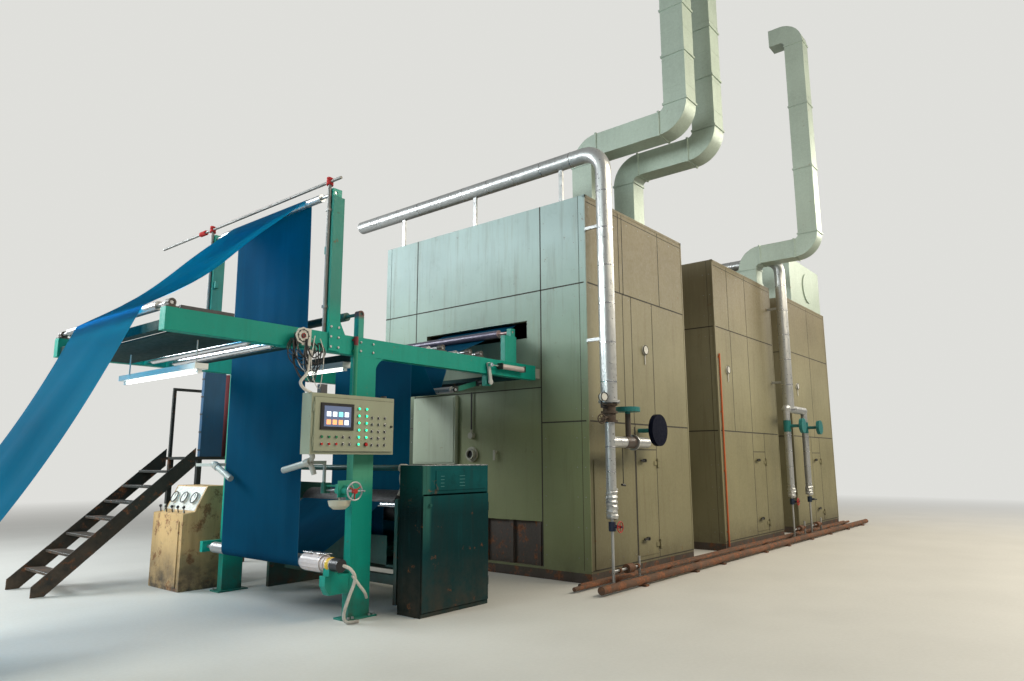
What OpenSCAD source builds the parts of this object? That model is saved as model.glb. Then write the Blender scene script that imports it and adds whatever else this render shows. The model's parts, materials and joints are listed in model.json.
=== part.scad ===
// Continuous textile drying range: cloth feed gantry, squeezing mangle and three hot-air chambers.
// Millimetres. +X runs down the line, +Y to the far side, +Z up.
// Origin on the floor at the middle of the first chamber's footprint.

/* [Chambers] */
// Length of each chamber along the line
chamber_len = 2830; // [2810:10:2850]
// Width of each chamber across the line
chamber_wid = 3960; // [3940:10:3980]
// Height of the chambers above the floor
chamber_high = 5000; // [4950:10:5050]
// Thickness of the insulated wall panels
wall_thick = 90; // [80:5:100]
// Gap between the first and second chamber
gap_one = 1205; // [1185:10:1225]
// Gap between the second and third chamber
gap_two = 920; // [910:5:930]
// Thickness of the door leaves
leaf_thick = 40; // [34:1:44]

/* [Gantry] */
// Width of the beams and posts across the line
beam_wide = 100; // [94:2:104]
// Length of each post along the line
post_long = 250; // [240:5:260]
// Underside of the beams above the floor
beam_low = 2550; // [2545:1:2555]

/* [Cloth and rollers] */
// Width of the cloth
cloth_wide = 1470; // [1400:10:1500]
// Thickness of the cloth band
cloth_thick = 4; // [3:0.5:5]
// Diameter of the small cloth rollers
roller_dia = 80; // [76:1:82]
// Diameter of the bottom roller
bottom_dia = 120; // [112:2:124]
// Diameter of the roller at the chamber slot
slot_dia = 105; // [100:1:108]
// Diameter of the two squeezing rolls
squeeze_dia = 340; // [320:2:342]
// Diameter of the roller journals
journal_dia = 35; // [32:1:36]
// Radial clearance of each journal in its bearing
fit_gap = 0.05; // [0.03:0.01:0.08]

/* [Control box] */
// Depth of the control box
box_deep = 150; // [140:5:160]
// Diameter of the push buttons
button_dia = 24; // [20:1:26]

/* [Pipes and ducts] */
// Outer diameter of the lagged steam mains
main_dia = 210; // [200:2:214]
// Outer diameter of the lagged drops
drop_dia = 125; // [115:1:130]
// Width of the exhaust ducts
duct_wide = 360; // [340:5:370]

/* [Stairs and console] */
// Run of each stair tread
tread_deep = 190; // [180:2:200]
// Depth of the gauge console along the line
console_deep = 560; // [550:2:566]

/* [Hidden] */
$fn = 48;
part_gap = 0.4;
base_high = 120;
floor_top = 150;
tier_a = 1990;
tier_b = 3800;
roof_low = chamber_high - wall_thick;
yn = -chamber_wid / 2;
hl = chamber_len / 2;
c1 = 0;
c2 = chamber_len + gap_one;
c3 = c2 + chamber_len + gap_two;
slot_low = 3160;
slot_high = 3405;
slot_half = 995;
beam_top = 2740;
beam_out = 1130 + beam_wide;
beam_in = 1130;
post_x = -4370;
up_x = -4783;
axis_z = 2785;
face = 980;
cloth_gap = 0.5;
bore = journal_dia + 2 * fit_gap;
roll_gap = squeeze_dia + cloth_thick + 2 * cloth_gap;
roll_z = 1000;
nip_x = -3300;
trough_z = 520;
trough_1x = nip_x - 307.5;
trough_2x = nip_x - 60 - cloth_thick / 2 - cloth_gap;
box_front = -1230.4 - box_deep;
door_y = box_front - 15.4;
hinge_x = -5088;
dancer_x = -2465;
dancer_z = 2450;
swing_x = dancer_x - 400;
swing_z = dancer_z - 112;
rod_z_mid = 2654;
draw_1x = -5530;
draw_2x = -5290;
draw_z = 2590;
bottom_x = -4680;
bottom_z = 530;
post_roller_x = -4445;
post_roller_z = 2990;
guide_1x = nip_x + (roller_dia + cloth_thick) / 2 + cloth_gap;
guide_2x = -2800;
guide_3x = -2600;
slot_x = -1990;
slot_z = 3140;
entry_x = -3700;
entry_z = 1020;
guider_x = -4595;
guider_z = 1212;
cab_left = -4030;
cab_back = -1400;
cab_high = 1455;
hatch_out = 65;

// Shared shapes
module bx(x0, x1, y0, y1, z0, z1) {
    translate([x0, y0, z0]) cube([x1 - x0, y1 - y0, z1 - z0]);
}
module pan(x0, x1, y0, y1, z0, z1) {
    s = part_gap / 2;
    bx(x0 + s, x1 - s, y0 + s, y1 - s, z0 + s, z1 - s);
}
module rod_y(x, z, d, y0, y1) {
    translate([x, y0, z]) rotate([-90, 0, 0]) cylinder(h = y1 - y0, d = d);
}
module rod_x(y, z, d, x0, x1) {
    translate([x0, y, z]) rotate([0, 90, 0]) cylinder(h = x1 - x0, d = d);
}
module rod_z(x, y, d, z0, z1) {
    translate([x, y, z0]) cylinder(h = z1 - z0, d = d);
}
module both_sides() {
    children();
    mirror([0, 1, 0]) children();
}
module plate_y(points, y0, y1) {
    translate([0, y1, 0]) rotate([90, 0, 0]) linear_extrude(y1 - y0) polygon(points);
}
module roller(x, z, d, half, reach) {
    rod_y(x, z, d, -half, half);
    rod_y(x, z, journal_dia, -reach, reach);
}
module chamber_columns(xs, y0, y1, z0, z1) {
    for (i = [0:len(xs) - 2]) pan(xs[i], xs[i + 1], y0, y1, z0, z1);
}
module slot_wall(x0, x1, low) {
    a = -yn - wall_thick;
    both_sides() {
        pan(x0, x1, -a, -1238, floor_top, tier_a);
        pan(x0, x1, -a, -1238, tier_a, tier_b);
        pan(x0, x1, -a, -1238, tier_b, roof_low);
        pan(x0, x1, -1238, -slot_half, slot_low, slot_high);
    }
    pan(x0, x1, -1238, 1238, low, 2463);
    pan(x0, x1, -1238, 1238, 2463, slot_low);
    pan(x0, x1, -1238, 1238, slot_high, tier_b);
    pan(x0, x1, -1238, 1238, tier_b, roof_low);
}
module chamber_shell(cx, dl, dr, mid, top, front_low) {
    x0 = cx - hl;
    x1 = cx + hl;
    yw = yn + wall_thick;
    pan(x0, x1, yn, -yn, base_high, floor_top);
    chamber_columns([x0, cx + dl], yn, yw, floor_top, tier_a);
    chamber_columns([cx + dr, x1], yn, yw, floor_top, tier_a);
    pan(cx + dl, cx + dr, yn, yw, floor_top, 200);
    pan(cx + dl, cx + dr, yn, yw, 1640, tier_a);
    chamber_columns(mid, yn, yw, tier_a, tier_b);
    chamber_columns(top, yn, yw, tier_b, roof_low);
    pan(x0, x1, -yw, -yn, floor_top, tier_a);
    pan(x0, x1, -yw, -yn, tier_a, tier_b);
    pan(x0, x1, -yw, -yn, tier_b, roof_low);
    slot_wall(x0, x0 + wall_thick, front_low);
    slot_wall(x1 - wall_thick, x1, floor_top);
    pan(x0, cx, yn, -yn, roof_low, chamber_high);
    pan(cx, x1, yn, -yn, roof_low, chamber_high);
    for (z = [330, 1450]) hinge_jamb(cx + dr, z);
}
module hinge_jamb(x, z) {
    y = yn - 16;
    rod_z(x, y, 26, z - 62, z - 31);
    rod_z(x, y, 26, z + 31, z + 62);
    rod_z(x, y, 12, z - 70, z + 70);
    bx(x + 6, x + 90, yn - 10, yn, z - 62, z - 31);
    bx(x + 6, x + 90, yn - 10, yn, z + 31, z + 62);
}
module chamber_door(cx, dl, dr) {
    x = cx + dr;
    y = yn - 16;
    difference() {
        union() {
            bx(cx + dl + 4, x - 4, yn, yn + leaf_thick, 204, 1636);
            for (z = [330, 1450]) {
                rod_z(x, y, 26, z - 30, z + 30);
                bx(x - 90, x - 6, yn - 10, yn, z - 30, z + 30);
            }
        }
        for (z = [330, 1450]) rod_z(x, y, 12 + 2 * fit_gap, z - 31, z + 31);
    }
    for (h = [[183, 1489], [218, 431]]) {
        rod_y(cx + dl + h[0], h[1], 50, yn - 18, yn);
        bx(cx + dl + h[0] - 110, cx + dl + h[0] + 14, yn - 40, yn - 18, h[1] - 10, h[1] + 10);
    }
}

// Chambers
module chamber_bases() {
    color([0.25, 0.22, 0.2])
    for (cx = [c1, c2, c3]) {
        both_sides() bx(cx - hl, cx + hl, yn, yn + 150, 0, base_high);
        for (t = [-hl + 75, -hl / 2, 0, hl / 2, hl - 75]) {
            bx(cx + t - 75, cx + t + 75, yn + 150 + part_gap, -yn - 150 - part_gap, 0, base_high);
        }
    }
    color([0.25, 0.15, 0.1]) {
        bx(-hl + 50, -hl + 60, -1200, 1200, floor_top, 708);
        for (y = [-1170, -700, -230, 230, 700, 1170]) {
            bx(-hl + 8, -hl + 49.6, y - 30, y + 30, floor_top, 708);
        }
    }
}
module chamber_1_walls() {
    color([0.55, 0.6, 0.55])
    chamber_shell(c1, -250, 342, [-hl, -495, -265, 345, hl], [-hl, -565, -465, 605, hl], 710);
}
module chamber_2_walls() {
    color([0.55, 0.58, 0.5])
    chamber_shell(c2, 37, 629, [c2 - hl, c2 - 750, c2 + 60, hl + c2], [c2 - hl, c2 - 790, c2 + 60, hl + c2],
        floor_top);
}
module chamber_3_walls() {
    color([0.55, 0.58, 0.5])
    chamber_shell(c3, -250, 342, [c3 - hl, c3 + 60, hl + c3], [c3 - hl, c3 + 60, hl + c3], floor_top);
}
module chamber_1_door() {
    color([0.5, 0.5, 0.42]) chamber_door(c1, -250, 342);
}
module chamber_2_door() {
    color([0.5, 0.5, 0.42]) chamber_door(c2, 37, 629);
}
module chamber_3_door() {
    color([0.5, 0.5, 0.42]) chamber_door(c3, -250, 342);
}
module front_hatch() {
    x = -hl - 0.1;
    color([0.45, 0.5, 0.45]) {
        bx(-hl - hatch_out, x, 306, 1161, 1450, 2443);
        bx(-hl - hatch_out - 10, -hl - hatch_out, 330, 1137, 1474, 2419);
        bx(-hl - 12, x, 1165, 1250, 1450, 2443);
        rod_x(10, 1586, 210, -hl - 30, x);
        difference() {
            rod_x(10, 1586, 150, -hl - 70, -hl - 30);
            rod_x(10, 1586, 110, -hl - 71, -hl - 40);
        }
        rod_x(10, 1850, 90, -hl - 60, x);
        rod_z(-hl - 30, 10, 26, 1850, 2470);
        rod_x(-437, 1612, 40, -hl - 40, x);
        bx(-hl - 52, -hl - 40, -455, -419, 1500, 1640);
    }
}
module inner_rollers() {
    reach = -yn - wall_thick;
    color([0.5, 0.5, 0.52])
    for (cx = [c1, c2, c3]) {
        for (t = [-800, 0, 800]) {
            rod_y(cx + t, 4450, 150, -1700, 1700);
            rod_y(cx + t, 4450, 60, -reach, reach);
        }
        for (t = [-400, 400]) {
            rod_y(cx + t, 520, 150, -1700, 1700);
            rod_y(cx + t, 520, 60, -reach, reach);
        }
    }
}
module heater_coils() {
    color([0.5, 0.45, 0.4])
    for (cx = [c1, c2, c3]) {
        bx(cx - 900, cx + 900, -yn - wall_thick - 190, -yn - wall_thick - 0.2, 1200, 2900);
    }
}
module chamber_fans() {
    color([0.35, 0.37, 0.38])
    for (cx = [c1, c2, c3]) {
        y = 900;
        bx(cx - 170, cx + 170, y - 170, y + 170, chamber_high, chamber_high + 20);
        rod_z(cx, y, 280, chamber_high + 20, chamber_high + 360);
        rod_z(cx, y, 200, roof_low - 40, roof_low);
        rod_z(cx, y, 40, roof_low - 200, roof_low - 40);
        for (a = [0:45:135]) {
            translate([cx, y, roof_low - 240]) rotate([0, 0, a]) translate([-200, -4, 0]) cube([400, 8, 90]);
        }
    }
}

// Gantry
module gantry_posts() {
    color([0.08, 0.5, 0.4])
    both_sides() {
        px0 = post_x - post_long / 2;
        px1 = post_x + post_long / 2;
        bx(px0, px1, -beam_out, -beam_in, 0, beam_low);
        bx(px0 - 60, px1 + 60, -beam_out - 50, -beam_in + 50, 0, 16);
        difference() {
            bx(px1 - 1, px1 + 150, -beam_out + 5, -beam_in - 5, beam_low - 150, beam_low);
            rod_y(px1 + 150, beam_low - 150, 300, -beam_out, -beam_in);
        }
    }
    color([0.08, 0.5, 0.4]) {
        px = post_x - post_long / 2 + 1;
        plate_y([[bottom_x - 90, bottom_z - 100], [bottom_x - 90, bottom_z - 190],
            [bottom_x - 40, bottom_z - 277], [px, bottom_z - 277], [px, bottom_z - 100]], -1225, -1135);
        difference() {
            bx(bottom_x - 50, bottom_x + 50, -1225, -1135, bottom_z - 110, bottom_z - 30);
            rod_y(bottom_x, bottom_z, 121, -1230, -1130);
        }
        difference() {
            bx(bottom_x - 70, px, 1140, 1200, bottom_z - 60, bottom_z + 60);
            rod_y(bottom_x, bottom_z, bore, 1130, 1210);
        }
    }
}
module gantry_beams() {
    color([0.08, 0.5, 0.4])
    both_sides() bx(-6425, -hl - 120, -beam_out, -beam_in, beam_low, beam_top);
}
module gantry_ties() {
    color([0.1, 0.3, 0.27]) {
        for (x = [-6360, -5150, -4170, -hl - 185]) {
            bx(x - 40, x + 40, -beam_in, beam_in, beam_low + 20, beam_low + 100);
        }
        both_sides() bx(-hl - 119.8, -hl - 0.1, -beam_out + 20, -beam_in - 20, beam_low + 30, beam_top - 30);
    }
    color([0.12, 0.12, 0.13]) bx(-6319.8, -5700, -beam_in, beam_in, beam_low + 4, beam_low + 16);
}
module top_uprights() {
    color([0.08, 0.5, 0.4])
    both_sides() {
        bx(up_x - 67.5, up_x + 67.5, -beam_out, -beam_in, beam_top, 4150);
        plate_y([[up_x + 67, beam_top], [up_x + 150, beam_top], [up_x + 67, beam_top + 160]],
            -beam_out + 20, -beam_out + 32);
        bx(up_x - 67.5, up_x + 67.5, -beam_out - 12.3, -beam_out - 0.3, beam_top - 180, beam_top + 120);
        bx(up_x - 67.5, up_x + 67.5, -beam_out - 1, -beam_out + 1, beam_top + 0.3, beam_top + 120);
        bx(up_x - 55, up_x - 15, -1160, -1090, 3560, 3640);
    }
}
module upper_bar() {
    x = up_x - 67.5 - 18.6;
    color([0.5, 0.5, 0.5]) {
        both_sides() {
            rod_z(x, -1180, 36, beam_top + 0.1, 4335);
            bx(x - 22, x + 18.2, -1204, -1156, 2985, 3015);
            bx(x - 22, x + 18.2, -1204, -1156, 3985, 4015);
        }
        rod_y(x, 4300, 30, -1365, 2475);
    }
}
module beam_bearing(x) {
    difference() {
        union() {
            bx(x - 55, x + 55, -beam_out + 8, -beam_in - 8, beam_top, beam_top + 14);
            bx(x - 30, x + 30, -beam_out + 14, -beam_in - 14, beam_top + 10, axis_z);
            rod_y(x, axis_z, 68, -beam_out + 14, -beam_in - 14);
        }
        rod_y(x, axis_z, bore, -beam_out, -beam_in);
    }
}
module hung_bearing(x, z, d) {
    difference() {
        bx(x - 40, x + 40, -beam_out + 14, -beam_in - 14, z - 45, beam_low);
        rod_y(x, z, d, -beam_out, -beam_in);
    }
}
module inner_bearing(x, z) {
    difference() {
        bx(x - 40, x + 40, -beam_in + 0.2, -beam_in + 36, z - 40, z + 40);
        rod_y(x, z, bore, -beam_in, -beam_in + 40);
    }
}
module bearing_blocks() {
    color([0.1, 0.45, 0.38])
    both_sides() {
        for (x = [-6370, guide_1x, guide_2x, guide_3x]) beam_bearing(x);
        for (x = [draw_1x, draw_2x]) inner_bearing(x, draw_z);
        hung_bearing(dancer_x, dancer_z, 50 + 2 * fit_gap);
        difference() {
            bx(up_x - 67, up_x + 40, -beam_out + 14, -beam_in - 14, 4150, 4235);
            rod_y(-4815, 4190, bore, -beam_out, -beam_in);
        }
        difference() {
            union() {
                bx(post_roller_x - 35, post_roller_x + 35, -beam_out + 12, -beam_in - 18, beam_top,
                    post_roller_z);
                rod_y(post_roller_x, post_roller_z, 70, -beam_out + 12, -beam_in - 18);
            }
            rod_y(post_roller_x, post_roller_z, bore, -beam_out, -beam_in);
        }
        difference() {
            union() {
                bx(slot_x - 160, slot_x + 70, -beam_out + 14, -beam_in - 14, beam_top, slot_z - 60);
                bx(slot_x - 40, slot_x + 40, -beam_out + 14, -beam_in - 14, slot_z - 61, slot_z + 45);
            }
            rod_y(slot_x, slot_z, bore, -beam_out, -beam_in);
        }
    }
}
module lamp(x, y0, y1, z0, z1) {
    bx(x - 60, x + 60, y0, y1, z0, z1);
    rod_y(x, z0 - 18, 30, y0 + 50, y1 - 50);
    for (y = [y0 + 25, y1 - 50.2]) bx(x - 18, x + 18, y, y + 25.2, z0 - 35, z0);
}
module lamps() {
    color([0.85, 0.87, 0.85]) {
        lamp(-4170, -650, 650, beam_low - 40, beam_low + 19.8);
        lamp(-5980, -1000, 560, 2290, 2340);
        for (y = [-900, 460]) rod_z(-5980, y, 12, 2339, beam_low + 3.8);
    }
}

// Cloth path as [x, z, roller radius, side], side 1 with the roller to the left of travel
cloth_path = [
    [-7960, 60, 0, 0],
    [-6370, axis_z, roller_dia / 2, -1],
    [-4815, 4190, roller_dia / 2, -1],
    [bottom_x, bottom_z, bottom_dia / 2, 1],
    [entry_x, entry_z, 27.5, -1],
    [trough_1x, trough_z, 60, 1],
    [trough_2x, trough_z, 60, 1],
    [guide_1x, axis_z, roller_dia / 2, -1],
    [swing_x, swing_z, roller_dia / 2, 1],
    [guide_3x, axis_z, roller_dia / 2, -1],
    [slot_x, slot_z, slot_dia / 2, 1],
    [-1200, slot_high + 35, 0, 0]
];
function reach_of(p) = p[3] == 0 ? 0 : p[2] + cloth_gap + cloth_thick / 2;
function leg_angle(a, b) = atan2(b[1] - a[1], b[0] - a[0])
    - asin((b[3] * reach_of(b) - a[3] * reach_of(a)) / norm([b[0] - a[0], b[1] - a[1]]));
function touch(p, a, k) = [p[0] + p[3] * reach_of(p) * k * sin(a), p[1] - p[3] * reach_of(p) * k * cos(a)];
function turn(d, s) = s > 0 ? (d < -0.01 ? d + 360 : d) : (d > 0.01 ? d - 360 : d);
function arc_points(p, a, b) = let (d = turn(b - a, p[3]), n = max(1, ceil(abs(d) / 32)))
    [for (i = [0:n - 1]) touch(p, a + d * (i + 0.5) / n, 1 / cos(d / n / 2))];
function web_points() = let (n = len(cloth_path) - 1) [
    for (i = [0:n])
        let (a = i > 0 ? leg_angle(cloth_path[i - 1], cloth_path[i]) : 0,
             b = i < n ? leg_angle(cloth_path[i], cloth_path[i + 1]) : 0)
        each (cloth_path[i][3] == 0 ? [[cloth_path[i][0], cloth_path[i][1]]] : arc_points(cloth_path[i], a, b))
];
function seg_dir(p, i) = let (d = p[i + 1] - p[i]) d / norm(d);
function mitre(p, i) = let (n = len(p) - 1,
        a = i > 0 ? seg_dir(p, i - 1) : seg_dir(p, i),
        b = i < n ? seg_dir(p, i) : seg_dir(p, i - 1),
        m = a + b) [-m[1], m[0]] / norm(m) * cloth_thick / 2 / sqrt((1 + a * b) / 2);
module cloth_web() {
    p = web_points();
    color([0.04, 0.2, 0.33])
    for (i = [0:len(p) - 2]) {
        e = seg_dir(p, i) * 0.15;
        m = mitre(p, i);
        q = mitre(p, i + 1);
        plate_y([p[i] + e - m, p[i + 1] - e - q, p[i + 1] - e + q, p[i] + e + m],
            -cloth_wide / 2, cloth_wide / 2);
    }
}

// Rollers
module entry_roller() {
    color([0.55, 0.56, 0.58]) roller(-6370, axis_z, roller_dia, face, 1210);
}
module top_roller() {
    color([0.55, 0.56, 0.58]) roller(-4815, 4190, roller_dia, face, 1210);
}
module draw_roller_1() {
    color([0.75, 0.76, 0.78]) roller(draw_1x, draw_z, roller_dia - 5, face, 1125);
}
module draw_roller_2() {
    color([0.75, 0.76, 0.78]) roller(draw_2x, draw_z, roller_dia - 5, face, 1125);
}
module post_roller() {
    color([0.05, 0.22, 0.18]) roller(post_roller_x, post_roller_z, 90, face, 1210);
}
module guide_roller_1() {
    color([0.55, 0.56, 0.58]) roller(guide_1x, axis_z, roller_dia, face, 1210);
}
module guide_roller_2() {
    color([0.55, 0.56, 0.58]) roller(guide_2x, axis_z, roller_dia, face, 1210);
}
module guide_roller_3() {
    color([0.55, 0.56, 0.58]) roller(guide_3x, axis_z, roller_dia, face, 1210);
}
module slot_roller() {
    color([0.45, 0.38, 0.5]) roller(slot_x, slot_z, slot_dia, face, 1210);
}
module bottom_roller() {
    color([0.45, 0.46, 0.48]) {
        rod_y(bottom_x, bottom_z, bottom_dia, -770, 1000);
        rod_y(bottom_x, bottom_z, journal_dia, -784.6, 1198);
    }
}

// Dancer
module dancer_arms() {
    cr0 = -beam_out - 32;
    cr1 = -beam_out - 14;
    color([0.3, 0.32, 0.33]) {
        rod_y(dancer_x, dancer_z, 50, cr0, beam_out - 16);
        both_sides() difference() {
            union() {
                plate_y([[dancer_x + 8, dancer_z - 29], [swing_x + 8, swing_z - 29], [swing_x - 8, swing_z + 29],
                    [dancer_x - 8, dancer_z + 29]], -1045, -1025);
                rod_y(dancer_x, dancer_z, 80, -1045, -1025);
                rod_y(swing_x, swing_z, 60, -1045, -1025);
            }
            rod_y(swing_x, swing_z, bore, -1050, -1020);
        }
        translate([dancer_x, 0, dancer_z]) difference() {
            union() {
                plate_y([[24.5, 5], [-23.9, 240.1], [-72.9, 230.1], [-24.5, -5]], cr0, cr1);
                rod_y(0, 0, 70, cr0, cr1);
            }
            rod_y(-40.3, 195.9, 17.5, cr0 - 1, cr1 + 1);
            rod_y(-42.9, 208.6, 17.5, cr0 - 1, cr1 + 1);
            plate_y([[-31.7, 197.7], [-34.3, 210.4], [-51.5, 206.8], [-48.9, 194.1]], cr0 - 1, cr1 + 1);
        }
    }
}
module dancer_roller() {
    color([0.55, 0.56, 0.58]) roller(swing_x, swing_z, roller_dia, face, 1044);
}
module dancer_cylinder() {
    yc = -beam_out - 55;
    x0 = dancer_x + 134;
    x1 = x0 + 472;
    color([0.7, 0.72, 0.73])
    difference() {
        union() {
            rod_x(yc, rod_z_mid, 66, x0 + 12, x1 - 12);
            for (x = [x0, x1 - 24]) {
                bx(x, x + 24, yc - 38, yc + 38, rod_z_mid - 38, rod_z_mid + 38);
                bx(x, x + 24, yc + 30, -beam_out - 0.1, rod_z_mid - 24, rod_z_mid + 24);
            }
        }
        rod_x(yc, rod_z_mid, 20 + 2 * fit_gap, x0 - 10, x0 + 310);
    }
}
module dancer_rod() {
    yc = -beam_out - 55;
    x = dancer_x - 42;
    color([0.8, 0.81, 0.83]) {
        rod_x(yc, rod_z_mid, 20, x + 7, x + 420);
        bx(x - 23, x + 23, yc - 22, yc + 21, rod_z_mid - 22, rod_z_mid + 22);
        rod_y(x, rod_z_mid, 16, yc + 20, -beam_out - 8);
    }
}

// Control box
module control_case() {
    f = box_front;
    b = -beam_out - 0.4;
    x0 = hinge_x - 22;
    color([0.58, 0.58, 0.45]) {
        difference() {
            bx(x0, -4120, f, b, 1560, 2125);
            bx(x0 + 14, -4134, f + 6, b - 6, 1574, 2111);
            bx(hinge_x + 18, -4160, f - 1, f + 7, 1605, 2070);
        }
        for (z = [1680, 1995]) {
            for (s = [-1, 1]) {
                rod_z(hinge_x, f - 8, 12, z + s * 32 - 15, z + s * 32 + 15);
                bx(hinge_x - 4, hinge_x + 4, f - 4, f + 0.1, z + s * 32 - 15, z + s * 32 + 15);
            }
            rod_z(hinge_x, f - 8, 6, z - 40, z + 40);
        }
    }
}
module control_door() {
    f = box_front;
    color([0.6, 0.6, 0.47])
    difference() {
        union() {
            bx(hinge_x + 7, -4145, door_y, f - 0.4, 1585, 2090);
            for (z = [1680, 1995]) {
                rod_z(hinge_x, f - 8, 12, z - 16, z + 16);
                bx(hinge_x, hinge_x + 13, f - 14, f - 8, z - 16, z + 16);
            }
        }
        for (z = [1680, 1995]) rod_z(hinge_x, f - 8, 6 + 2 * fit_gap, z - 17, z + 17);
    }
}
module button(x, z) {
    rod_y(x, z, button_dia + 4, door_y - 4, door_y);
    rod_y(x, z, button_dia, door_y - 12, door_y);
}
module control_fittings() {
    color([0.1, 0.1, 0.1]) {
        bx(-5020, -4642, door_y - 12, door_y, 1786, 2036);
        for (i = [0:5]) {
            button(-4578, 1998 - 68.4 * i);
            if (i < 5) button(-4487, 1998 - 68.4 * i);
        }
        for (x = [-4411, -4329, -4248]) {
            for (i = [0:4]) button(x, 1918 - 66.6 * i);
        }
        for (i = [0:4]) {
            button(-5000 + 81 * i, 1720);
            button(-5000 + 81 * i, 1654);
        }
        difference() {
            rod_y(-4487, 1656, 40, door_y - 8, door_y);
            rod_y(-4487, 1656, button_dia + 2 * fit_gap, door_y - 9, door_y - 1);
        }
        rod_y(-4165, 1838, 22, door_y - 14, door_y);
    }
}
module stop_button() {
    color([0.7, 0.05, 0.05]) {
        rod_y(-4487, 1656, button_dia, door_y - 14, door_y - 5.2);
        rod_y(-4487, 1656, 34, door_y - 20, door_y - 13);
    }
}

// Edge guider
module guider_frame() {
    px0 = post_x - post_long / 2 - 0.1;
    color([0.08, 0.45, 0.35])
    difference() {
        union() {
            bx(guider_x - 35, px0, -1225, -1140, guider_z - 27, guider_z + 63);
            rod_y(guider_x, guider_z, 66, -1300, -1120);
            rod_y(guider_x, guider_z + 44, 20, -1335, -885);
            bx(guider_x - 65, px0, -1225, -1213, guider_z - 62, guider_z + 98);
        }
        rod_y(guider_x, guider_z, 24 + 2 * fit_gap, -1310, -1110);
    }
}
module guider_wheel() {
    color([0.75, 0.72, 0.66]) {
        rod_y(guider_x, guider_z, 24, -1410, -885);
        rod_y(guider_x, guider_z, 46, -1412, -1380);
        translate([guider_x, -1396, guider_z]) rotate([90, 0, 0])
            rotate_extrude() translate([84, 0]) circle(d = 17);
        for (a = [90, 210, 330]) {
            translate([guider_x, -1396, guider_z]) rotate([0, a, 0]) cylinder(h = 80, d = 12);
        }
        rod_y(guider_x + 84, guider_z, 16, -1440, -1396);
    }
}
module guide_arms() {
    px0 = post_x - post_long / 2 - 0.1;
    arm_x = -4880;
    color([0.8, 0.8, 0.78]) {
        difference() {
            union() {
                bx(guider_x - 40, guider_x + 35, -960, -910, guider_z - 32, guider_z + 73);
                bx(guider_x - 40, guider_x - 20, -960, -930, guider_z + 68, 1500);
                bx(arm_x, guider_x - 20, -960, -930, 1465, 1500);
                translate([arm_x + 15, -1040, 1488]) rotate([-100.3, 0, 0]) cylinder(h = 445, d = 65);
            }
            rod_y(guider_x, guider_z, 24 + 2 * fit_gap, -970, -900);
            rod_y(guider_x, guider_z + 44, 20 + 2 * fit_gap, -970, -900);
        }
        bx(arm_x, px0, 1140, 1170, 1440, 1475);
        bx(arm_x, arm_x + 30, 790, 1141, 1440, 1475);
        translate([arm_x + 15, 792, 1470]) rotate([112.4, 0, 0]) cylinder(h = 420, d = 65);
        translate([guider_x - 80, -1270, guider_z - 172]) rotate_extrude()
            polygon([[0, 0], [60, 4], [96, 34], [110, 84], [0, 90]]);
        rod_z(guider_x - 25, -1195, 16, guider_z - 100, guider_z - 27.1);
    }
}
module drive_motor() {
    color([0.7, 0.7, 0.68]) {
        rod_y(bottom_x, bottom_z, 165, -1094, -785);
        rod_y(bottom_x, bottom_z, 140, -1134, -1090);
        rod_y(bottom_x, bottom_z, 120, -1340, -1134);
        bx(bottom_x - 45, bottom_x + 45, -1050, -950, bottom_z + 60, bottom_z + 92);
    }
}

// Mangle
roll_1x = nip_x - roll_gap / 2;
roll_2x = nip_x + roll_gap / 2;
module mangle_side(y0, y1) {
    difference() {
        translate([0, y1, 0]) rotate([90, 0, 0]) linear_extrude(y1 - y0) children();
        rod_y(roll_1x, roll_z, 80 + 2 * fit_gap, y0 - 10, y1 + 10);
        rod_y(roll_2x, roll_z, 80 + 2 * fit_gap, y0 - 10, y1 + 10);
        rod_y(entry_x, entry_z, 27 + 2 * fit_gap, y0 - 10, y1 + 10);
    }
}
module mangle_frame() {
    color([0.12, 0.25, 0.24]) {
        mangle_side(-1060, -1010) polygon([[-3750, 0], [-2930, 0], [-2930, 1200], [-3560, 1240], [-3640, 1090],
            [-3750, 1090]]);
        mangle_side(1010, 1060) polygon([[-3960, 0], [-2930, 0], [-2930, 1200], [-3560, 1240], [-3640, 1290],
            [-3900, 1470], [-3960, 1470]]);
        for (x = [-3720, -3000]) bx(x - 30, x + 30, -1010.5, 1010.5, 200, 300);
        bx(-3650, -3250, cab_back + 0.1, -1059.5, 300, 640);
        rod_y(-3930, 1424, 60, cab_back + 0.1, 1010.5);
        for (x = [trough_1x, trough_2x]) {
            rod_y(x, trough_z, 120, -800, 800);
            rod_y(x, trough_z, 30, -1010.5, 1010.5);
        }
    }
    color([0.5, 0.52, 0.52]) {
        pan(trough_1x - 148, trough_2x + 82, -900, 900, 400, 412);
        pan(trough_1x - 148, trough_1x - 136, -900, 900, 412, 700);
        pan(trough_2x + 70, trough_2x + 82, -900, 900, 412, 700);
        for (x = [trough_1x - 120, trough_2x + 50]) {
            both_sides() bx(x - 20, x + 20, -1010.5, -880, 380, 399.9);
        }
    }
}
module mangle_roll_1() {
    color([0.1, 0.1, 0.11]) {
        rod_y(roll_1x, roll_z, squeeze_dia, -860, 860);
        rod_y(roll_1x, roll_z, 80, -1075, 1075);
    }
}
module mangle_roll_2() {
    color([0.1, 0.1, 0.11]) {
        rod_y(roll_2x, roll_z, squeeze_dia, -860, 860);
        rod_y(roll_2x, roll_z, 80, -1075, 1075);
    }
}
module mangle_guide_roller() {
    color([0.75, 0.76, 0.76]) {
        rod_y(entry_x, entry_z, 55, -980, 980);
        rod_y(entry_x, entry_z, 27, -1065, 1065);
    }
}
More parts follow.
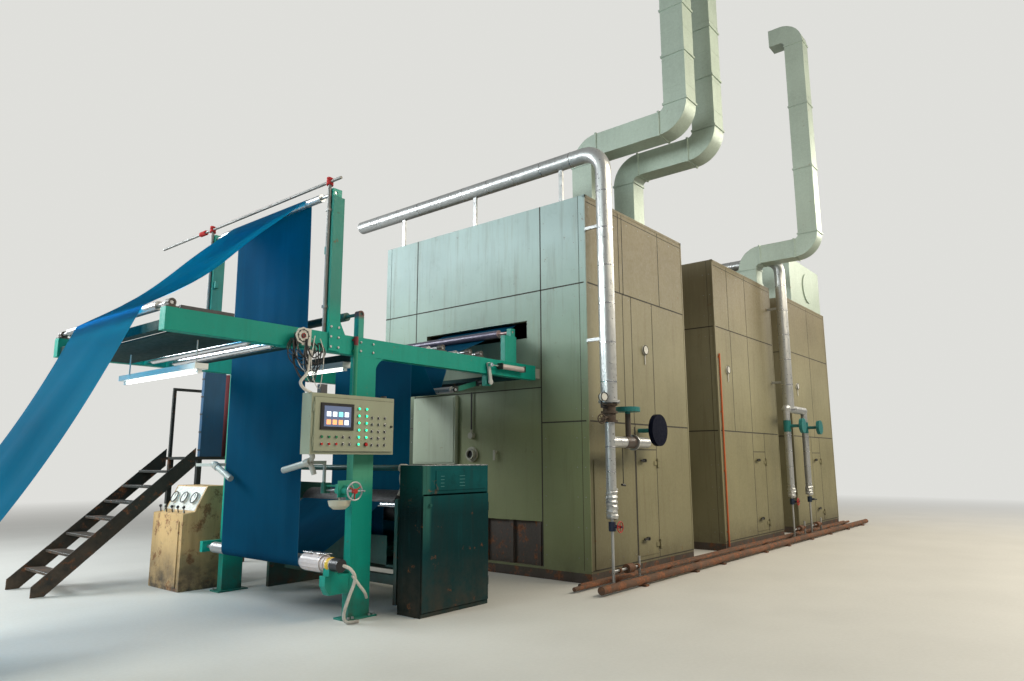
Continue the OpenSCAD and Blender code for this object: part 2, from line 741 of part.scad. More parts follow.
module mangle_cabinet() {
    color([0.06, 0.35, 0.3]) {
        pan(cab_left, -3050, -1725, cab_back, 0, 40);
        pan(cab_left, -3050, -1725, cab_back, cab_high - 20, cab_high);
        pan(cab_left, cab_left + 18, -1725, cab_back, 40, cab_high - 20);
        pan(-3068, -3050, -1725, cab_back, 40, cab_high - 20);
        pan(cab_left + 18, -3068, cab_back - 18, cab_back, 40, cab_high - 20);
        pan(cab_left + 18, -3068, -1725, -1707, 1165, cab_high - 20);
        bx(-3840, -3090, -1731, -1725, 1200, 1400);
        for (z = [240, 1010]) {
            for (s = [-1, 1]) {
                rod_z(-3048, -1731, 10, z + s * 31 - 14, z + s * 31 + 14);
                bx(-3053, -3044, -1729, -1725, z + s * 31 - 14, z + s * 31 + 14);
            }
            rod_z(-3048, -1731, 5, z - 36, z + 36);
        }
        for (i = [0:5]) bx(cab_left - 4, cab_left, -1660, -1460, 900 + 60 * i, 920 + 60 * i);
    }
}
module mangle_door() {
    color([0.06, 0.35, 0.3])
    difference() {
        union() {
            bx(cab_left + 8, -3054, -1737, -1725.4, 46, 1150);
            for (z = [240, 1010]) {
                rod_z(-3048, -1731, 10, z - 16, z + 16);
                bx(-3060, -3048, -1736, -1731, z - 16, z + 16);
            }
            rod_y(-3930, 1060, 30, -1760, -1737);
        }
        for (z = [240, 1010]) rod_z(-3048, -1731, 5 + 2 * fit_gap, z - 17, z + 17);
    }
}

// Console
module console_body() {
    xf = -4839;
    xb = xf + console_deep;
    color([0.7, 0.6, 0.42]) {
        difference() {
            plate_y([[xf, 0], [xb, 0], [xb, 1200], [-4560, 1200], [-4700, 900], [xf, 880]], 1473, 2234);
            bx(xf - 1, -4420, 1560, 2150, 60, 780);
        }
        for (z = [180, 660]) {
            for (s = [-1, 1]) {
                rod_z(xf - 6, 2171, 10, z + s * 31 - 14, z + s * 31 + 14);
                bx(xf - 4, xf + 1, 2167, 2176, z + s * 31 - 14, z + s * 31 + 14);
            }
            rod_z(xf - 6, 2171, 5, z - 36, z + 36);
        }
    }
}
module console_door() {
    xf = -4839;
    color([0.7, 0.5, 0.3])
    difference() {
        union() {
            bx(xf - 12, xf - 0.4, 1545, 2165, 45, 795);
            for (z = [180, 660]) {
                rod_z(xf - 6, 2171, 10, z - 16, z + 16);
                bx(xf - 11, xf - 6, 2159, 2171, z - 16, z + 16);
            }
        }
        for (z = [180, 660]) rod_z(xf - 6, 2171, 5 + 2 * fit_gap, z - 17, z + 17);
    }
}
module gauges() {
    color([0.9, 0.9, 0.88]) {
        for (y = [1600, 1850, 2100]) {
            translate([-4630.2, y, 1050.1]) rotate([0, -65, 0]) cylinder(h = 32, d = 140);
            rod_z(-4775, y, 14, 889.8, 960);
            rod_z(-4775, y, 30, 950, 980);
        }
        for (x = [81, c2 - 968, c3 - 968]) {
            rod_y(x, 3070, 130, yn - 30, yn);
            rod_z(x, yn - 14, 16, 2860, 3070);
        }
    }
}

// Stairs and platform
module stairs() {
    color([0.16, 0.18, 0.18]) {
        for (y = [2412, 3258]) {
            plate_y([[-6038, 0], [-5902, 0], [-4269, 1436], [-4269, 1676], [-6038, 120]], y, y + 12);
        }
        for (i = [0:6]) {
            x = -5770 + 206 * i - tread_deep / 2;
            bx(x, x + tread_deep, 2424.3, 3257.7, 210 + 190 * i, 240 + 190 * i);
        }
    }
}
module platform() {
    color([0.2, 0.22, 0.22]) {
        bx(-4268.6, -3000, 2400, 3290, 1520, 1560);
        for (x = [-4240, -3060]) {
            for (y = [2410, 3220]) bx(x, x + 60, y, y + 60, 0, 1519.8);
        }
        for (x = [-4240, -3630, -3040]) bx(x, x + 40, 3240, 3280, 1560.2, 2500);
        bx(-4240, -3000, 3245, 3275, 2500.3, 2540);
    }
    color([0.05, 0.25, 0.45]) {
        bx(-4200, -3900, 2440, 2500, 1560.2, 2850);
        for (i = [0:4]) bx(-4210, -4200, 2440, 2500, 1640 + 240 * i, 1660 + 240 * i);
    }
    color([0.35, 0.08, 0.1]) rod_z(-3700, 2560, 300, 1560.2, 2700);
}

// Steam and drain pipework
pipe_y = yn - 300;
pipe_1x = 15 - hl;
pipe_2x = c2 + 1250;
drop_ax = c2 + 1090;
drop_bx = c3 - 1600;
module bend(r, d, start) {
    rotate([90, 0, 90]) rotate([0, 0, start])
        rotate_extrude(angle = 90) translate([r, 0]) circle(d = d);
}
module overhead(x, low) {
    rod_z(x, pipe_y, main_dia, low, 5250.5);
    translate([x, pipe_y + 300, 5250]) bend(300, main_dia, 90);
    rod_y(x, 5550, main_dia, pipe_y + 299.5, 2700);
    rod_z(x, pipe_y, main_dia + 60, low - 30, low);
    for (y = [-1600, 0, 1600]) bx(x - 15, x + 15, y - 30, y + 30, chamber_high + 0.1, 5500);
    for (z = [3000, 4500]) bx(x - 20, x + 20, pipe_y + 60, yn - 0.1, z, z + 40);
}
module lower_drop(x, top) {
    rod_z(x, pipe_y, drop_dia, 820, top);
    rod_z(x, pipe_y, 36, 760.2, 821);
    rod_z(x, pipe_y, 36, 8, 649.8);
    bx(x - 50, x + 50, pipe_y - 50, pipe_y + 50, 0, 10);
    rod_x(pipe_y, 180, 34, x, x + 620);
    rod_x(pipe_y, 180, 110, x + 300, x + 440);
    rod_z(x + 620, pipe_y, 34, 8, 300);
    bx(x + 570, x + 670, pipe_y - 50, pipe_y + 50, 0, 10);
}
module steam_pipes() {
    color([0.75, 0.76, 0.78]) {
        overhead(pipe_1x, 2230);
        lower_drop(pipe_1x, 2231);
        rod_x(pipe_y, 1720, 140, pipe_1x, -1065.2);
        rod_x(pipe_y, 1720, 140, -844.8, -500);
        rod_x(pipe_y, 1720, 200, -844.8, -825);
        translate([-500, pipe_y, 1720]) sphere(d = 140);
        rod_y(-500, 1720, 140, pipe_y, yn - 0.1);
        overhead(pipe_2x, 2500);
        rod_x(pipe_y, 2480, 150, drop_ax, drop_bx);
        for (x = [drop_ax, drop_bx]) {
            translate([x, pipe_y, 2480]) sphere(d = 150);
            rod_z(x, pipe_y, drop_dia, 2250.2, 2480);
            lower_drop(x, 2029.8);
        }
    }
}
module pipe_valves() {
    color([0.1, 0.45, 0.42]) {
        rod_x(pipe_y, 1720, 150, -1065, -845);
        rod_z(-955, pipe_y, 70, 1720, 2110);
        rod_z(-955, pipe_y, 320, 2110, 2170);
        for (x = [drop_ax, drop_bx]) {
            rod_z(x, pipe_y, 140, 2030, 2250);
            rod_y(x, 2140, 60, pipe_y - 265, pipe_y);
            rod_y(x, 2140, 280, pipe_y - 320, pipe_y - 260);
        }
        for (x = [pipe_1x, drop_ax, drop_bx]) {
            rod_z(x, pipe_y, 90, 650, 760);
            rod_y(x, 705, 40, pipe_y - 90, pipe_y);
            rod_y(x, 705, 14, pipe_y - 132, pipe_y - 89);
            rod_y(x, 705, 24, pipe_y - 140, pipe_y - 128);
        }
    }
    color([0.05, 0.12, 0.3]) {
        rod_y(-150, 1900, 60, pipe_y + 30, yn - 0.1);
        rod_y(-150, 1900, 430, pipe_y - 30, pipe_y + 31);
    }
}
module hand_wheel(x) {
    y = pipe_y - 111;
    difference() {
        union() {
            rod_y(x, 705, 34, y - 15, y + 15);
            translate([x, y, 705]) rotate([90, 0, 0]) rotate_extrude() translate([64, 0]) circle(d = 13);
            for (a = [0, 90, 180, 270]) {
                translate([x, y, 705]) rotate([0, a, 0]) cylinder(h = 60, d = 9);
            }
        }
        rod_y(x, 705, 14 + 2 * fit_gap, y - 19, y + 21);
    }
}
module valve_wheel_1() {
    color([0.6, 0.1, 0.08]) hand_wheel(pipe_1x);
}
module valve_wheel_2() {
    color([0.6, 0.1, 0.08]) hand_wheel(drop_ax);
}
module drain_pipes() {
    color([0.4, 0.22, 0.12]) {
        rod_x(yn - 525, 68, 95, -2030, c3 + 1715);
        rod_x(yn - 160, 44, 50, -2030, c3 + 1615);
        rod_x(yn - 80, 44, 50, -1800, c3 + 1515);
        for (x = [-1100, 300, 1200, c2 - 1135, c2 - 35, c2 + 1265, c3 - 1285, c3 + 15, c3 + 1215]) {
            bx(x - 40, x + 40, yn - 590, yn - 0.1, 0, 22);
        }
    }
}

// Ducts
module duct_bend(start) {
    rotate([90, 0, 90]) rotate([0, 0, start])
        rotate_extrude(angle = 90) translate([270, 0]) square([duct_wide, 320], center = true);
}
module duct_band(x, y, z, flat) {
    if (flat) bx(x - 175, x + 175, y - duct_wide / 2 - 15, y + duct_wide / 2 + 15, z - 15, z + 15);
    else bx(x - 175, x + 175, y - 15, y + 15, z - duct_wide / 2 - 15, z + duct_wide / 2 + 15);
}
module duct(x, y1, z1, y2, top) {
    w = duct_wide / 2;
    bx(x - 160, x + 160, y1 - w, y1 + w, chamber_high + 0.1, z1 - 269.5);
    translate([x, y1 - 270, z1 - 270]) duct_bend(0);
    bx(x - 160, x + 160, y2 + 269.5, y1 - 269.5, z1 - w, z1 + w);
    translate([x, y2 + 270, z1 + 270]) duct_bend(180);
    bx(x - 160, x + 160, y2 - w, y2 + w, z1 + 269.5, top);
    duct_band(x, y1, z1 - 270, true);
    duct_band(x, y1, chamber_high + 15.2, true);
    duct_band(x, y1 - 270, z1, false);
    duct_band(x, y2 + 270, z1, false);
    for (z = [z1 + 270:(top - z1 - 285) / 3:top]) duct_band(x, y2, z, true);
}
duct_cx = c2 + 955;
duct_cy = -3010;
duct_top = 9860;
module exhaust_ducts() {
    color([0.6, 0.62, 0.63]) {
        duct(c1 + 35, -1100, 6360, -2730, 8900);
        duct(c1 + 735, -1440, 6170, -2840, 8900);
        duct(duct_cx, -1790, 5580, duct_cy, duct_top);
        translate([duct_cx, duct_cy + 270, duct_top - 0.5]) duct_bend(90);
        bx(duct_cx - 160, duct_cx + 160, duct_cy + 269.5, duct_cy + 480, duct_top + 269.5 - duct_wide / 2,
            duct_top + 269.5 + duct_wide / 2);
        bx(c3 - 785, c3 + 1365, -1940, -300, chamber_high + 0.1, 6050);
        rod_y(c3 + 415, 5520, 700, -1970, -1940);
    }
}
module conduits() {
    yb = -beam_out;
    color([0.2, 0.2, 0.21]) {
        rod_z(-4530, yb - 24, 46, 2125.2, 2736);
        for (z = [2580, 2690]) bx(-4560, -4500, yb - 26, yb - 0.1, z, z + 20);
        bx(-6300, -5828, yb + 10, yb + 50, beam_top + 0.1, beam_top + 32);
        rod_y(-5170, 2650, 120, yb - 90, yb - 0.1);
        bx(-4985, -4915, yb - 110, yb - 50, 2125.2, 2215);
        rod_z(-4200, yb - 80, 60, 2125.2, 2150);
    }
}
module red_hose() {
    color([0.75, 0.2, 0.08]) {
        x = c2 - hl + 89;
        rod_z(x, yn - 22, 30, 70, 3320);
        for (z = [300, 1300, 2300, 3250]) bx(x - 24, x + 24, yn - 26, yn, z, z + 24);
    }
}

chamber_bases();
chamber_1_walls();
chamber_2_walls();
chamber_3_walls();
chamber_1_door();
chamber_2_door();
chamber_3_door();
front_hatch();
inner_rollers();
heater_coils();
chamber_fans();
gantry_posts();
gantry_beams();
gantry_ties();
top_uprights();
upper_bar();
bearing_blocks();
lamps();
cloth_web();
entry_roller();
top_roller();
draw_roller_1();
draw_roller_2();
post_roller();
guide_roller_1();
guide_roller_2();
guide_roller_3();
slot_roller();
bottom_roller();
dancer_arms();
dancer_roller();
dancer_cylinder();
dancer_rod();
control_case();
control_door();
control_fittings();
stop_button();
guider_frame();
guider_wheel();
guide_arms();
drive_motor();
mangle_frame();
mangle_roll_1();
mangle_roll_2();
mangle_guide_roller();
mangle_cabinet();
mangle_door();
console_body();
console_door();
gauges();
stairs();
platform();
steam_pipes();
pipe_valves();
valve_wheel_1();
valve_wheel_2();
drain_pipes();
exhaust_ducts();
conduits();
red_hose();
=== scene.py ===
# Looks of the textile drying range, in metres and in the frame of its CAD model
import json
import math
import random
import bmesh
import bpy
from mathutils import Matrix, Vector


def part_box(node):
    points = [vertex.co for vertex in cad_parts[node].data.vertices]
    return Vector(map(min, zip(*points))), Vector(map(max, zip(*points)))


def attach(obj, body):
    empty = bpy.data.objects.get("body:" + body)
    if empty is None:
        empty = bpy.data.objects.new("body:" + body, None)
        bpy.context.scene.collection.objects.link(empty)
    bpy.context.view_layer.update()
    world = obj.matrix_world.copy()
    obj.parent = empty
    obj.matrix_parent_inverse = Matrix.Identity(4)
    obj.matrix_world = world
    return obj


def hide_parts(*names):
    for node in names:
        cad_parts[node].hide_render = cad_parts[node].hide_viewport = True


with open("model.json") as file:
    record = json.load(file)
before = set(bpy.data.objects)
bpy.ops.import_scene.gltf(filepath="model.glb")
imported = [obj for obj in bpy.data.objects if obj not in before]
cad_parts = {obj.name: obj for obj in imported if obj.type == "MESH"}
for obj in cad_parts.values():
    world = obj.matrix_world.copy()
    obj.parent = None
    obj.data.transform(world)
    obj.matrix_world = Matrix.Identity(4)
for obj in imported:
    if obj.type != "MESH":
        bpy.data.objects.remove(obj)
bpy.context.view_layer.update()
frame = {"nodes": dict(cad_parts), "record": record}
SEED = 7
rng = random.Random(SEED)
NODES = frame["nodes"]
ROOT = "range"


# Shader helpers: each adds nodes to a tree and returns the socket that they end in
def new_mat(name):
    m = bpy.data.materials.new(name)
    m.use_nodes = True
    nt = m.node_tree
    return m, nt, nt.nodes["Principled BSDF"]


def noise(nt, coord, scale, detail=4.0, rough=0.55, stretch=None):
    src = coord
    if stretch is not None:
        mp = nt.nodes.new("ShaderNodeMapping")
        mp.inputs["Scale"].default_value = stretch
        nt.links.new(coord, mp.inputs["Vector"])
        src = mp.outputs["Vector"]
    n = nt.nodes.new("ShaderNodeTexNoise")
    n.inputs["Scale"].default_value = scale
    n.inputs["Detail"].default_value = detail
    n.inputs["Roughness"].default_value = rough
    nt.links.new(src, n.inputs["Vector"])
    return n.outputs["Fac"]


def ramp(nt, fac, lo, hi, a=0.0, b=1.0):
    r = nt.nodes.new("ShaderNodeMapRange")
    r.inputs["From Min"].default_value = lo
    r.inputs["From Max"].default_value = hi
    r.inputs["To Min"].default_value = a
    r.inputs["To Max"].default_value = b
    r.clamp = True
    nt.links.new(fac, r.inputs["Value"])
    return r.outputs["Result"]


def calc(nt, operation, a, b=None):
    n = nt.nodes.new("ShaderNodeMath")
    n.operation = operation
    nt.links.new(a, n.inputs[0])
    if isinstance(b, (int, float)):
        n.inputs[1].default_value = b
    elif b is not None:
        nt.links.new(b, n.inputs[1])
    return n.outputs[0]


def times(nt, a, b):
    return calc(nt, "MULTIPLY", a, b)


def mix(nt, fac, a, b):
    n = nt.nodes.new("ShaderNodeMix")
    n.data_type = "RGBA"
    n.clamp_factor = True
    fi, ai, bi = n.inputs[0], n.inputs[6], n.inputs[7]
    if isinstance(fac, (int, float)):
        fi.default_value = fac
    else:
        nt.links.new(fac, fi)
    for sock, v in ((ai, a), (bi, b)):
        if isinstance(v, tuple):
            sock.default_value = (*v, 1.0)
        else:
            nt.links.new(v, sock)
    return n.outputs[2]


def mix_shaders(nt, fac, a, b):
    n = nt.nodes.new("ShaderNodeMixShader")
    for sock, source in zip(n.inputs, (fac, a, b)):
        nt.links.new(source, sock)
    return n.outputs[0]


def xyz(nt, coord):
    n = nt.nodes.new("ShaderNodeSeparateXYZ")
    nt.links.new(coord, n.inputs[0])
    return n.outputs


def relief(nt, height, strength, distance, below=None):
    n = nt.nodes.new("ShaderNodeBump")
    n.inputs["Strength"].default_value = strength
    n.inputs["Distance"].default_value = distance
    nt.links.new(height, n.inputs["Height"])
    if below is not None:
        nt.links.new(below, n.inputs["Normal"])
    return n.outputs["Normal"]


def shade(c, k):
    return tuple(min(1.0, x * k) for x in c)


# Noise stretched along Z, for drips and creases
LONG_DRIPS = (2.2, 2.2, 0.16)
FINE_DRIPS = (1.6, 1.6, 0.12)
UPRIGHT_CREASES = (1.0, 1.0, 0.45)
GRAIN_DEEP = 0.003
CREASE_DEEP = 0.012
SPANGLE_SCALE = 45.0
GRIME = (0.06, 0.045, 0.032)
RUST_DARK = (0.10, 0.035, 0.015)
RUST_PALE = (0.26, 0.10, 0.04)
RUST_ROUGH = (0.85, 0.85, 0.85)
RUST_METAL = 0.1


# Paint or metal with cloudy tone, streaks, blots, grime up to dirt_h, and rust.
# Each zone is a list of masks (axis, where it starts, where it is full) and the colour there.
def surface(name, base, rough=0.5, metal=0.0, var=0.12, streak=0.25, streak_col=None, dirt=0.35,
            dirt_h=0.5, dirt_col=GRIME, rust=0.0, bump=0.15, bevel=0.004, fine=120.0,
            rust_scale=7.0, spangle=0.0, crumple=0.0, zones=(), spec=0.5):
    m, nt, b = new_mat(name)
    co = nt.nodes.new("ShaderNodeTexCoord").outputs["Object"]
    cloudy = ramp(nt, noise(nt, co, scale=0.9, detail=3.0), 0.3, 0.7)
    col = mix(nt, cloudy, shade(base, 1 - var), shade(base, 1 + var))
    place = xyz(nt, co)
    for masks, tone in zones:
        fac = None
        for way, lo, hi in masks:
            here = ramp(nt, place[way], lo, hi)
            fac = times(nt, fac, here) if fac else here
        col = mix(nt, fac, col, mix(nt, cloudy, shade(tone, 1 - var), shade(tone, 1 + var)))
    if streak > 0:
        dark = noise(nt, co, scale=5.0, detail=6.0, rough=0.65, stretch=LONG_DRIPS)
        col = mix(nt, times(nt, ramp(nt, dark, 0.52, 0.74), streak), col,
                  streak_col or shade(base, 0.45))
        pale = noise(nt, co, scale=17.0, detail=5.0, rough=0.6, stretch=FINE_DRIPS)
        col = mix(nt, times(nt, ramp(nt, pale, 0.56, 0.72), streak * 0.55), col,
                  shade(base, 1.35))
    blot = noise(nt, co, scale=3.4, detail=8.0, rough=0.7)
    col = mix(nt, times(nt, ramp(nt, blot, 0.58, 0.8), min(1.0, var * 2.5)), col,
              shade(base, 0.6))
    if spangle > 0:
        v = nt.nodes.new("ShaderNodeTexVoronoi")
        v.inputs["Scale"].default_value = SPANGLE_SCALE
        nt.links.new(co, v.inputs["Vector"])
        sep = nt.nodes.new("ShaderNodeSeparateColor")
        nt.links.new(v.outputs["Color"], sep.inputs[0])
        col = mix(nt, times(nt, sep.outputs[0], spangle), col, shade(base, 1.5))
    if dirt > 0:
        low = ramp(nt, place["Z"], dirt_h, 0.0)
        splash = ramp(nt, noise(nt, co, scale=6.0, detail=8.0, rough=0.65), 0.25, 0.62)
        col = mix(nt, times(nt, times(nt, low, splash), dirt * 1.8), col, dirt_col)
        specks = ramp(nt, noise(nt, co, scale=11.0, detail=8.0, rough=0.7), 0.62, 0.8)
        col = mix(nt, times(nt, specks, dirt), col, dirt_col)
    roughness = ramp(nt, noise(nt, co, scale=30.0, detail=6.0, rough=0.6), 0.3, 0.7,
                     max(0.05, rough - 0.1), min(1.0, rough + 0.14))
    b.inputs["Metallic"].default_value = metal
    if rust > 0:
        patch = noise(nt, co, rust_scale, detail=10.0, rough=0.72)
        rusty = ramp(nt, patch, 0.66 - 0.16 * rust, 0.7 - 0.12 * rust)
        grain = ramp(nt, noise(nt, co, scale=38.0, detail=6.0), 0.35, 0.65)
        col = mix(nt, times(nt, rusty, min(1.0, 0.55 + rust * 0.4)), col,
                  mix(nt, grain, RUST_DARK, RUST_PALE))
        roughness = mix(nt, rusty, roughness, RUST_ROUGH)
        if metal > 0:
            nt.links.new(ramp(nt, rusty, 0.0, 1.0, metal, RUST_METAL), b.inputs["Metallic"])
    nt.links.new(col, b.inputs["Base Color"])
    nt.links.new(roughness, b.inputs["Roughness"])
    b.inputs["Specular IOR Level"].default_value = spec
    edge = None
    if bevel > 0:
        bv = nt.nodes.new("ShaderNodeBevel")
        bv.samples = 4
        bv.inputs["Radius"].default_value = bevel
        edge = bv.outputs["Normal"]
    normal = relief(nt, noise(nt, co, fine, rough=0.6), bump, GRAIN_DEEP, edge)
    if crumple > 0:
        creases = noise(nt, co, scale=16.0, detail=5.0, rough=0.6, stretch=UPRIGHT_CREASES)
        normal = relief(nt, creases, crumple, CREASE_DEEP, normal)
    nt.links.new(normal, b.inputs["Normal"])
    return m


def glow(name, col, strength):
    m, nt, b = new_mat(name)
    b.inputs["Base Color"].default_value = (*col, 1)
    b.inputs["Emission Color"].default_value = (*col, 1)
    b.inputs["Emission Strength"].default_value = strength
    b.inputs["Roughness"].default_value = 0.3
    return m


# Paints. X, Y and Z in the zones are places on the machine, in metres.
GREEN = (0.001, 0.27, 0.205)
# FRONT_LOW, FRONT_MID and FRONT_HIGH are painted light: the chamber's end towards the cloth gets
# cooler tones, paler towards the top, for the cool window light on it
FRONT_LOW = (0.195, 0.222, 0.108)
FRONT_MID = (0.25, 0.345, 0.28)
FRONT_HIGH = (0.34, 0.44, 0.43)
SIDE_LOW = (0.20, 0.185, 0.105)
SIDE_HIGH = (0.24, 0.225, 0.145)
# Painted shade: the tops of the chamber walls are painted darker, to take down the warm roof
# lamp's bright patch there
SIDE_TOP_SHADE = (0.154, 0.132, 0.077)
ON_FRONT = ("X", -1.403, -1.408)
PAINTS = {
    "base_steel": dict(
        base=(0.09, 0.075, 0.065), rough=0.75, metal=0.2, var=0.3, streak=0.3, dirt=0.5, rust=0.8),
    "chamber_front": dict(
        base=shade(SIDE_LOW, 0.95), rough=0.55, var=0.09, streak=0.3,
        streak_col=(0.12, 0.09, 0.05), dirt=0.3, dirt_h=0.45, rust=0.05, bump=0.06, bevel=0.006,
        spec=0.35,
        zones=[
            ([("Z", 1.3, 3.0)], shade(SIDE_HIGH, 0.95)),
            # Painted shade: darker towards the roof
            ([("Z", 3.0, 4.6)], SIDE_TOP_SHADE),
            ([("X", -0.4, -1.2), ("Z", 2.4, 1.6)], shade(SIDE_LOW, 0.68)),
            # Painted light: cooler tones on the end towards the cloth, paler towards the top
            ([ON_FRONT], FRONT_LOW),
            ([ON_FRONT, ("Z", 1.9, 3.3)], FRONT_MID),
            ([ON_FRONT, ("Z", 3.3, 4.5)], FRONT_HIGH),
            # Painted shadow: the front face darker low on its far part, where the gantry's shadow
            # falls
            ([ON_FRONT, ("Z", 2.6, 2.2), ("Y", 0.9, 1.2)], (0.055, 0.075, 0.045)),
        ]),
    "chamber_side": dict(
        base=SIDE_LOW, rough=0.55, streak=0.38, streak_col=(0.12, 0.09, 0.05), rust=0.1,
        bump=0.06, bevel=0.006, spec=0.35,
        zones=[
            ([("Z", 1.5, 3.3)], SIDE_HIGH),
            # Painted shade: darker towards the roof
            ([("Z", 3.0, 4.6)], SIDE_TOP_SHADE),
        ]),
    "green_paint": dict(
        base=GREEN, var=0.14, streak=0.3, streak_col=(0.001, 0.11, 0.08), dirt=0.4, rust=0.16,
        bump=0.1, spec=0.25,
        zones=[
            ([("Z", 1.15, 1.35), ("Z", 1.95, 1.5)], (0.07, 0.31, 0.20)),
            ([("Z", 2.9, 3.1)], (0.025, 0.20, 0.165)),
        ]),
    "dark_green": dict(
        base=(0.012, 0.085, 0.07), rough=0.45, var=0.25, streak=0.4, dirt=0.6, rust=0.4),
    "roller_steel": dict(
        base=(0.42, 0.43, 0.44), rough=0.34, metal=0.75, var=0.15, streak=0.1, dirt=0.15,
        rust=0.1),
    "bright_steel": dict(
        base=(0.62, 0.63, 0.65), rough=0.18, metal=0.95, var=0.08, streak=0.05, dirt=0.1,
        bump=0.04),
    "rubber_roll": dict(
        base=(0.018, 0.018, 0.02), var=0.3, streak=0.2, streak_col=(0.05, 0.06, 0.07), dirt=0.2),
    "box_paint": dict(
        base=(0.30, 0.32, 0.225), rough=0.42, var=0.1, streak=0.2, streak_col=(0.2, 0.16, 0.08),
        dirt=0.15, dirt_h=0.3, rust=0.06, bump=0.08, bevel=0.003),
    "black_parts": dict(
        base=(0.012, 0.012, 0.013), rough=0.38, var=0.3, streak=0.1, dirt=0.1, bevel=0.001),
    "red_plastic": dict(
        base=(0.45, 0.012, 0.01), rough=0.28, var=0.1, streak=0.0, dirt=0.1, bevel=0.001),
    "grey_motor": dict(
        base=(0.48, 0.47, 0.45), rough=0.42, metal=0.1, streak=0.2, dirt=0.4, rust=0.1),
    "cabinet_teal": dict(
        base=(0.001, 0.036, 0.041), var=0.35, streak=0.6, streak_col=(0.012, 0.02, 0.02),
        dirt=0.4, dirt_h=0.6, rust=0.25, rust_scale=4.0, spec=0.08,
        zones=[
            ([("Z", 0.95, 1.3)], (0.002, 0.085, 0.092)),
            ([("X", -3.90, -3.94), ("Y", -1.722, -1.724), ("Z", 0.6, 1.0)], (0.03, 0.13, 0.11)),
            ([("X", -4.015, -4.02)], (0.003, 0.012, 0.012)),
            ([("X", -4.015, -4.02), ("Z", 1.0, 1.3)], (0.004, 0.05, 0.045)),
            ([("Z", 1.449, 1.453)], (0.45, 0.47, 0.45)),
        ]),
    "console_cream": dict(
        base=(0.50, 0.33, 0.15), var=0.2, streak=0.45, streak_col=(0.16, 0.08, 0.03), dirt=0.7,
        dirt_h=0.55, rust=0.7, rust_scale=4.5),
    "dial_white": dict(
        base=(0.62, 0.62, 0.58), rough=0.25, var=0.06, streak=0.0, dirt=0.15, bevel=0.002),
    "stair_steel": dict(
        base=(0.018, 0.022, 0.02), rough=0.6, metal=0.2, var=0.35, streak=0.3, dirt=0.7,
        dirt_h=1.0, dirt_col=(0.09, 0.06, 0.04), rust=0.6),
    "silver_lagging": dict(
        base=(0.47, 0.48, 0.48), rough=0.34, metal=0.7, streak=0.2,
        streak_col=(0.26, 0.25, 0.22), dirt=0.25, bump=0.1, crumple=0.5),
    "wheel_red": dict(
        base=(0.38, 0.02, 0.015), rough=0.4, metal=0.1, var=0.2, streak=0.1, dirt=0.3, rust=0.3,
        bevel=0.001),
    "rusty_pipe": dict(
        base=(0.16, 0.07, 0.035), rough=0.8, metal=0.1, var=0.4, streak=0.1, dirt=0.5, rust=1.1,
        bevel=0.002),
    "galvanised": dict(
        base=(0.36, 0.43, 0.37), rough=0.42, metal=0.35, streak=0.2,
        streak_col=(0.20, 0.22, 0.18), dirt=0.15, rust=0.06, spangle=0.2),
    "lamp_white": dict(
        base=(0.8, 0.82, 0.8), rough=0.35, var=0.06, streak=0.1, dirt=0.15, bevel=0.002),
    "hose_orange": dict(
        base=(0.45, 0.09, 0.02), rough=0.45, var=0.15, streak=0.15, dirt=0.3, bevel=0.001),
    "coil_metal": dict(
        base=(0.3, 0.27, 0.23), metal=0.6, var=0.2, streak=0.2, dirt=0.3, rust=0.3),
}
MAT = {name: surface(name, **look) for name, look in PAINTS.items()}
# Seam paint: dark joints, partly painted shade of the gaps between panels and at door edges
SEAM_DARK_AND_SHADE = surface(
    "seam_dark_and_shade", base=(0.035, 0.032, 0.026), rough=0.8, var=0.3, streak=0.0, dirt=0.2, bevel=0.0)
# Painted shade for the inside of an open hole
HOLE_SHADE = surface(
    "hole_painted_shade", base=(0.01, 0.01, 0.01), rough=0.9, var=0.3, streak=0.0, dirt=0.1, bevel=0.0)
RAG_RED = surface(
    "rag_red", base=(0.35, 0.02, 0.02), rough=0.9, var=0.3, streak=0.0, dirt=0.1, bump=0.6,
    bevel=0.0)
WRAP = surface(
    "wrap_white", base=(0.55, 0.53, 0.48), rough=0.9, var=0.25, streak=0.3,
    streak_col=(0.2, 0.15, 0.1), dirt=0.4, bump=0.7, bevel=0.0)
YELLOW = surface(
    "yellow_tape", base=(0.65, 0.42, 0.03), var=0.15, streak=0.0, dirt=0.3, bevel=0.001)
GREEN_ON = glow("lamp_green_on", (0.02, 0.9, 0.35), 2.2)
RED_CAP = surface(
    "cap_red", base=(0.5, 0.02, 0.015), rough=0.3, var=0.1, streak=0.0, dirt=0.05, bevel=0.0)
GREEN_CAP = surface(
    "cap_green", base=(0.01, 0.22, 0.08), rough=0.3, var=0.1, streak=0.0, dirt=0.05, bevel=0.0)
SCREEN = glow("screen_lit", (0.10, 0.13, 0.22), 0.6)
TILE_W = glow("tile_white", (0.75, 0.85, 0.95), 1.2)
TILE_O = glow("tile_orange", (0.9, 0.35, 0.15), 1.2)
TILE_C = glow("tile_cyan", (0.2, 0.75, 0.75), 1.2)
TUBE = glow("tube_lit", (0.95, 1.0, 0.93), 3.0)
BLUE_STEEL = surface(
    "blue_steel", base=(0.012, 0.075, 0.16), rough=0.45, var=0.25, streak=0.3, dirt=0.4,
    rust=0.15)
MAROON = surface(
    "maroon_cloth", base=(0.12, 0.015, 0.02), rough=0.95, var=0.3, streak=0.2, dirt=0.1,
    bump=0.6, bevel=0.0)
LOUVRE = surface(
    "louvre_edge", base=(0.05, 0.20, 0.20), var=0.3, streak=0.0, dirt=0.4, bevel=0.0, spec=0.2)
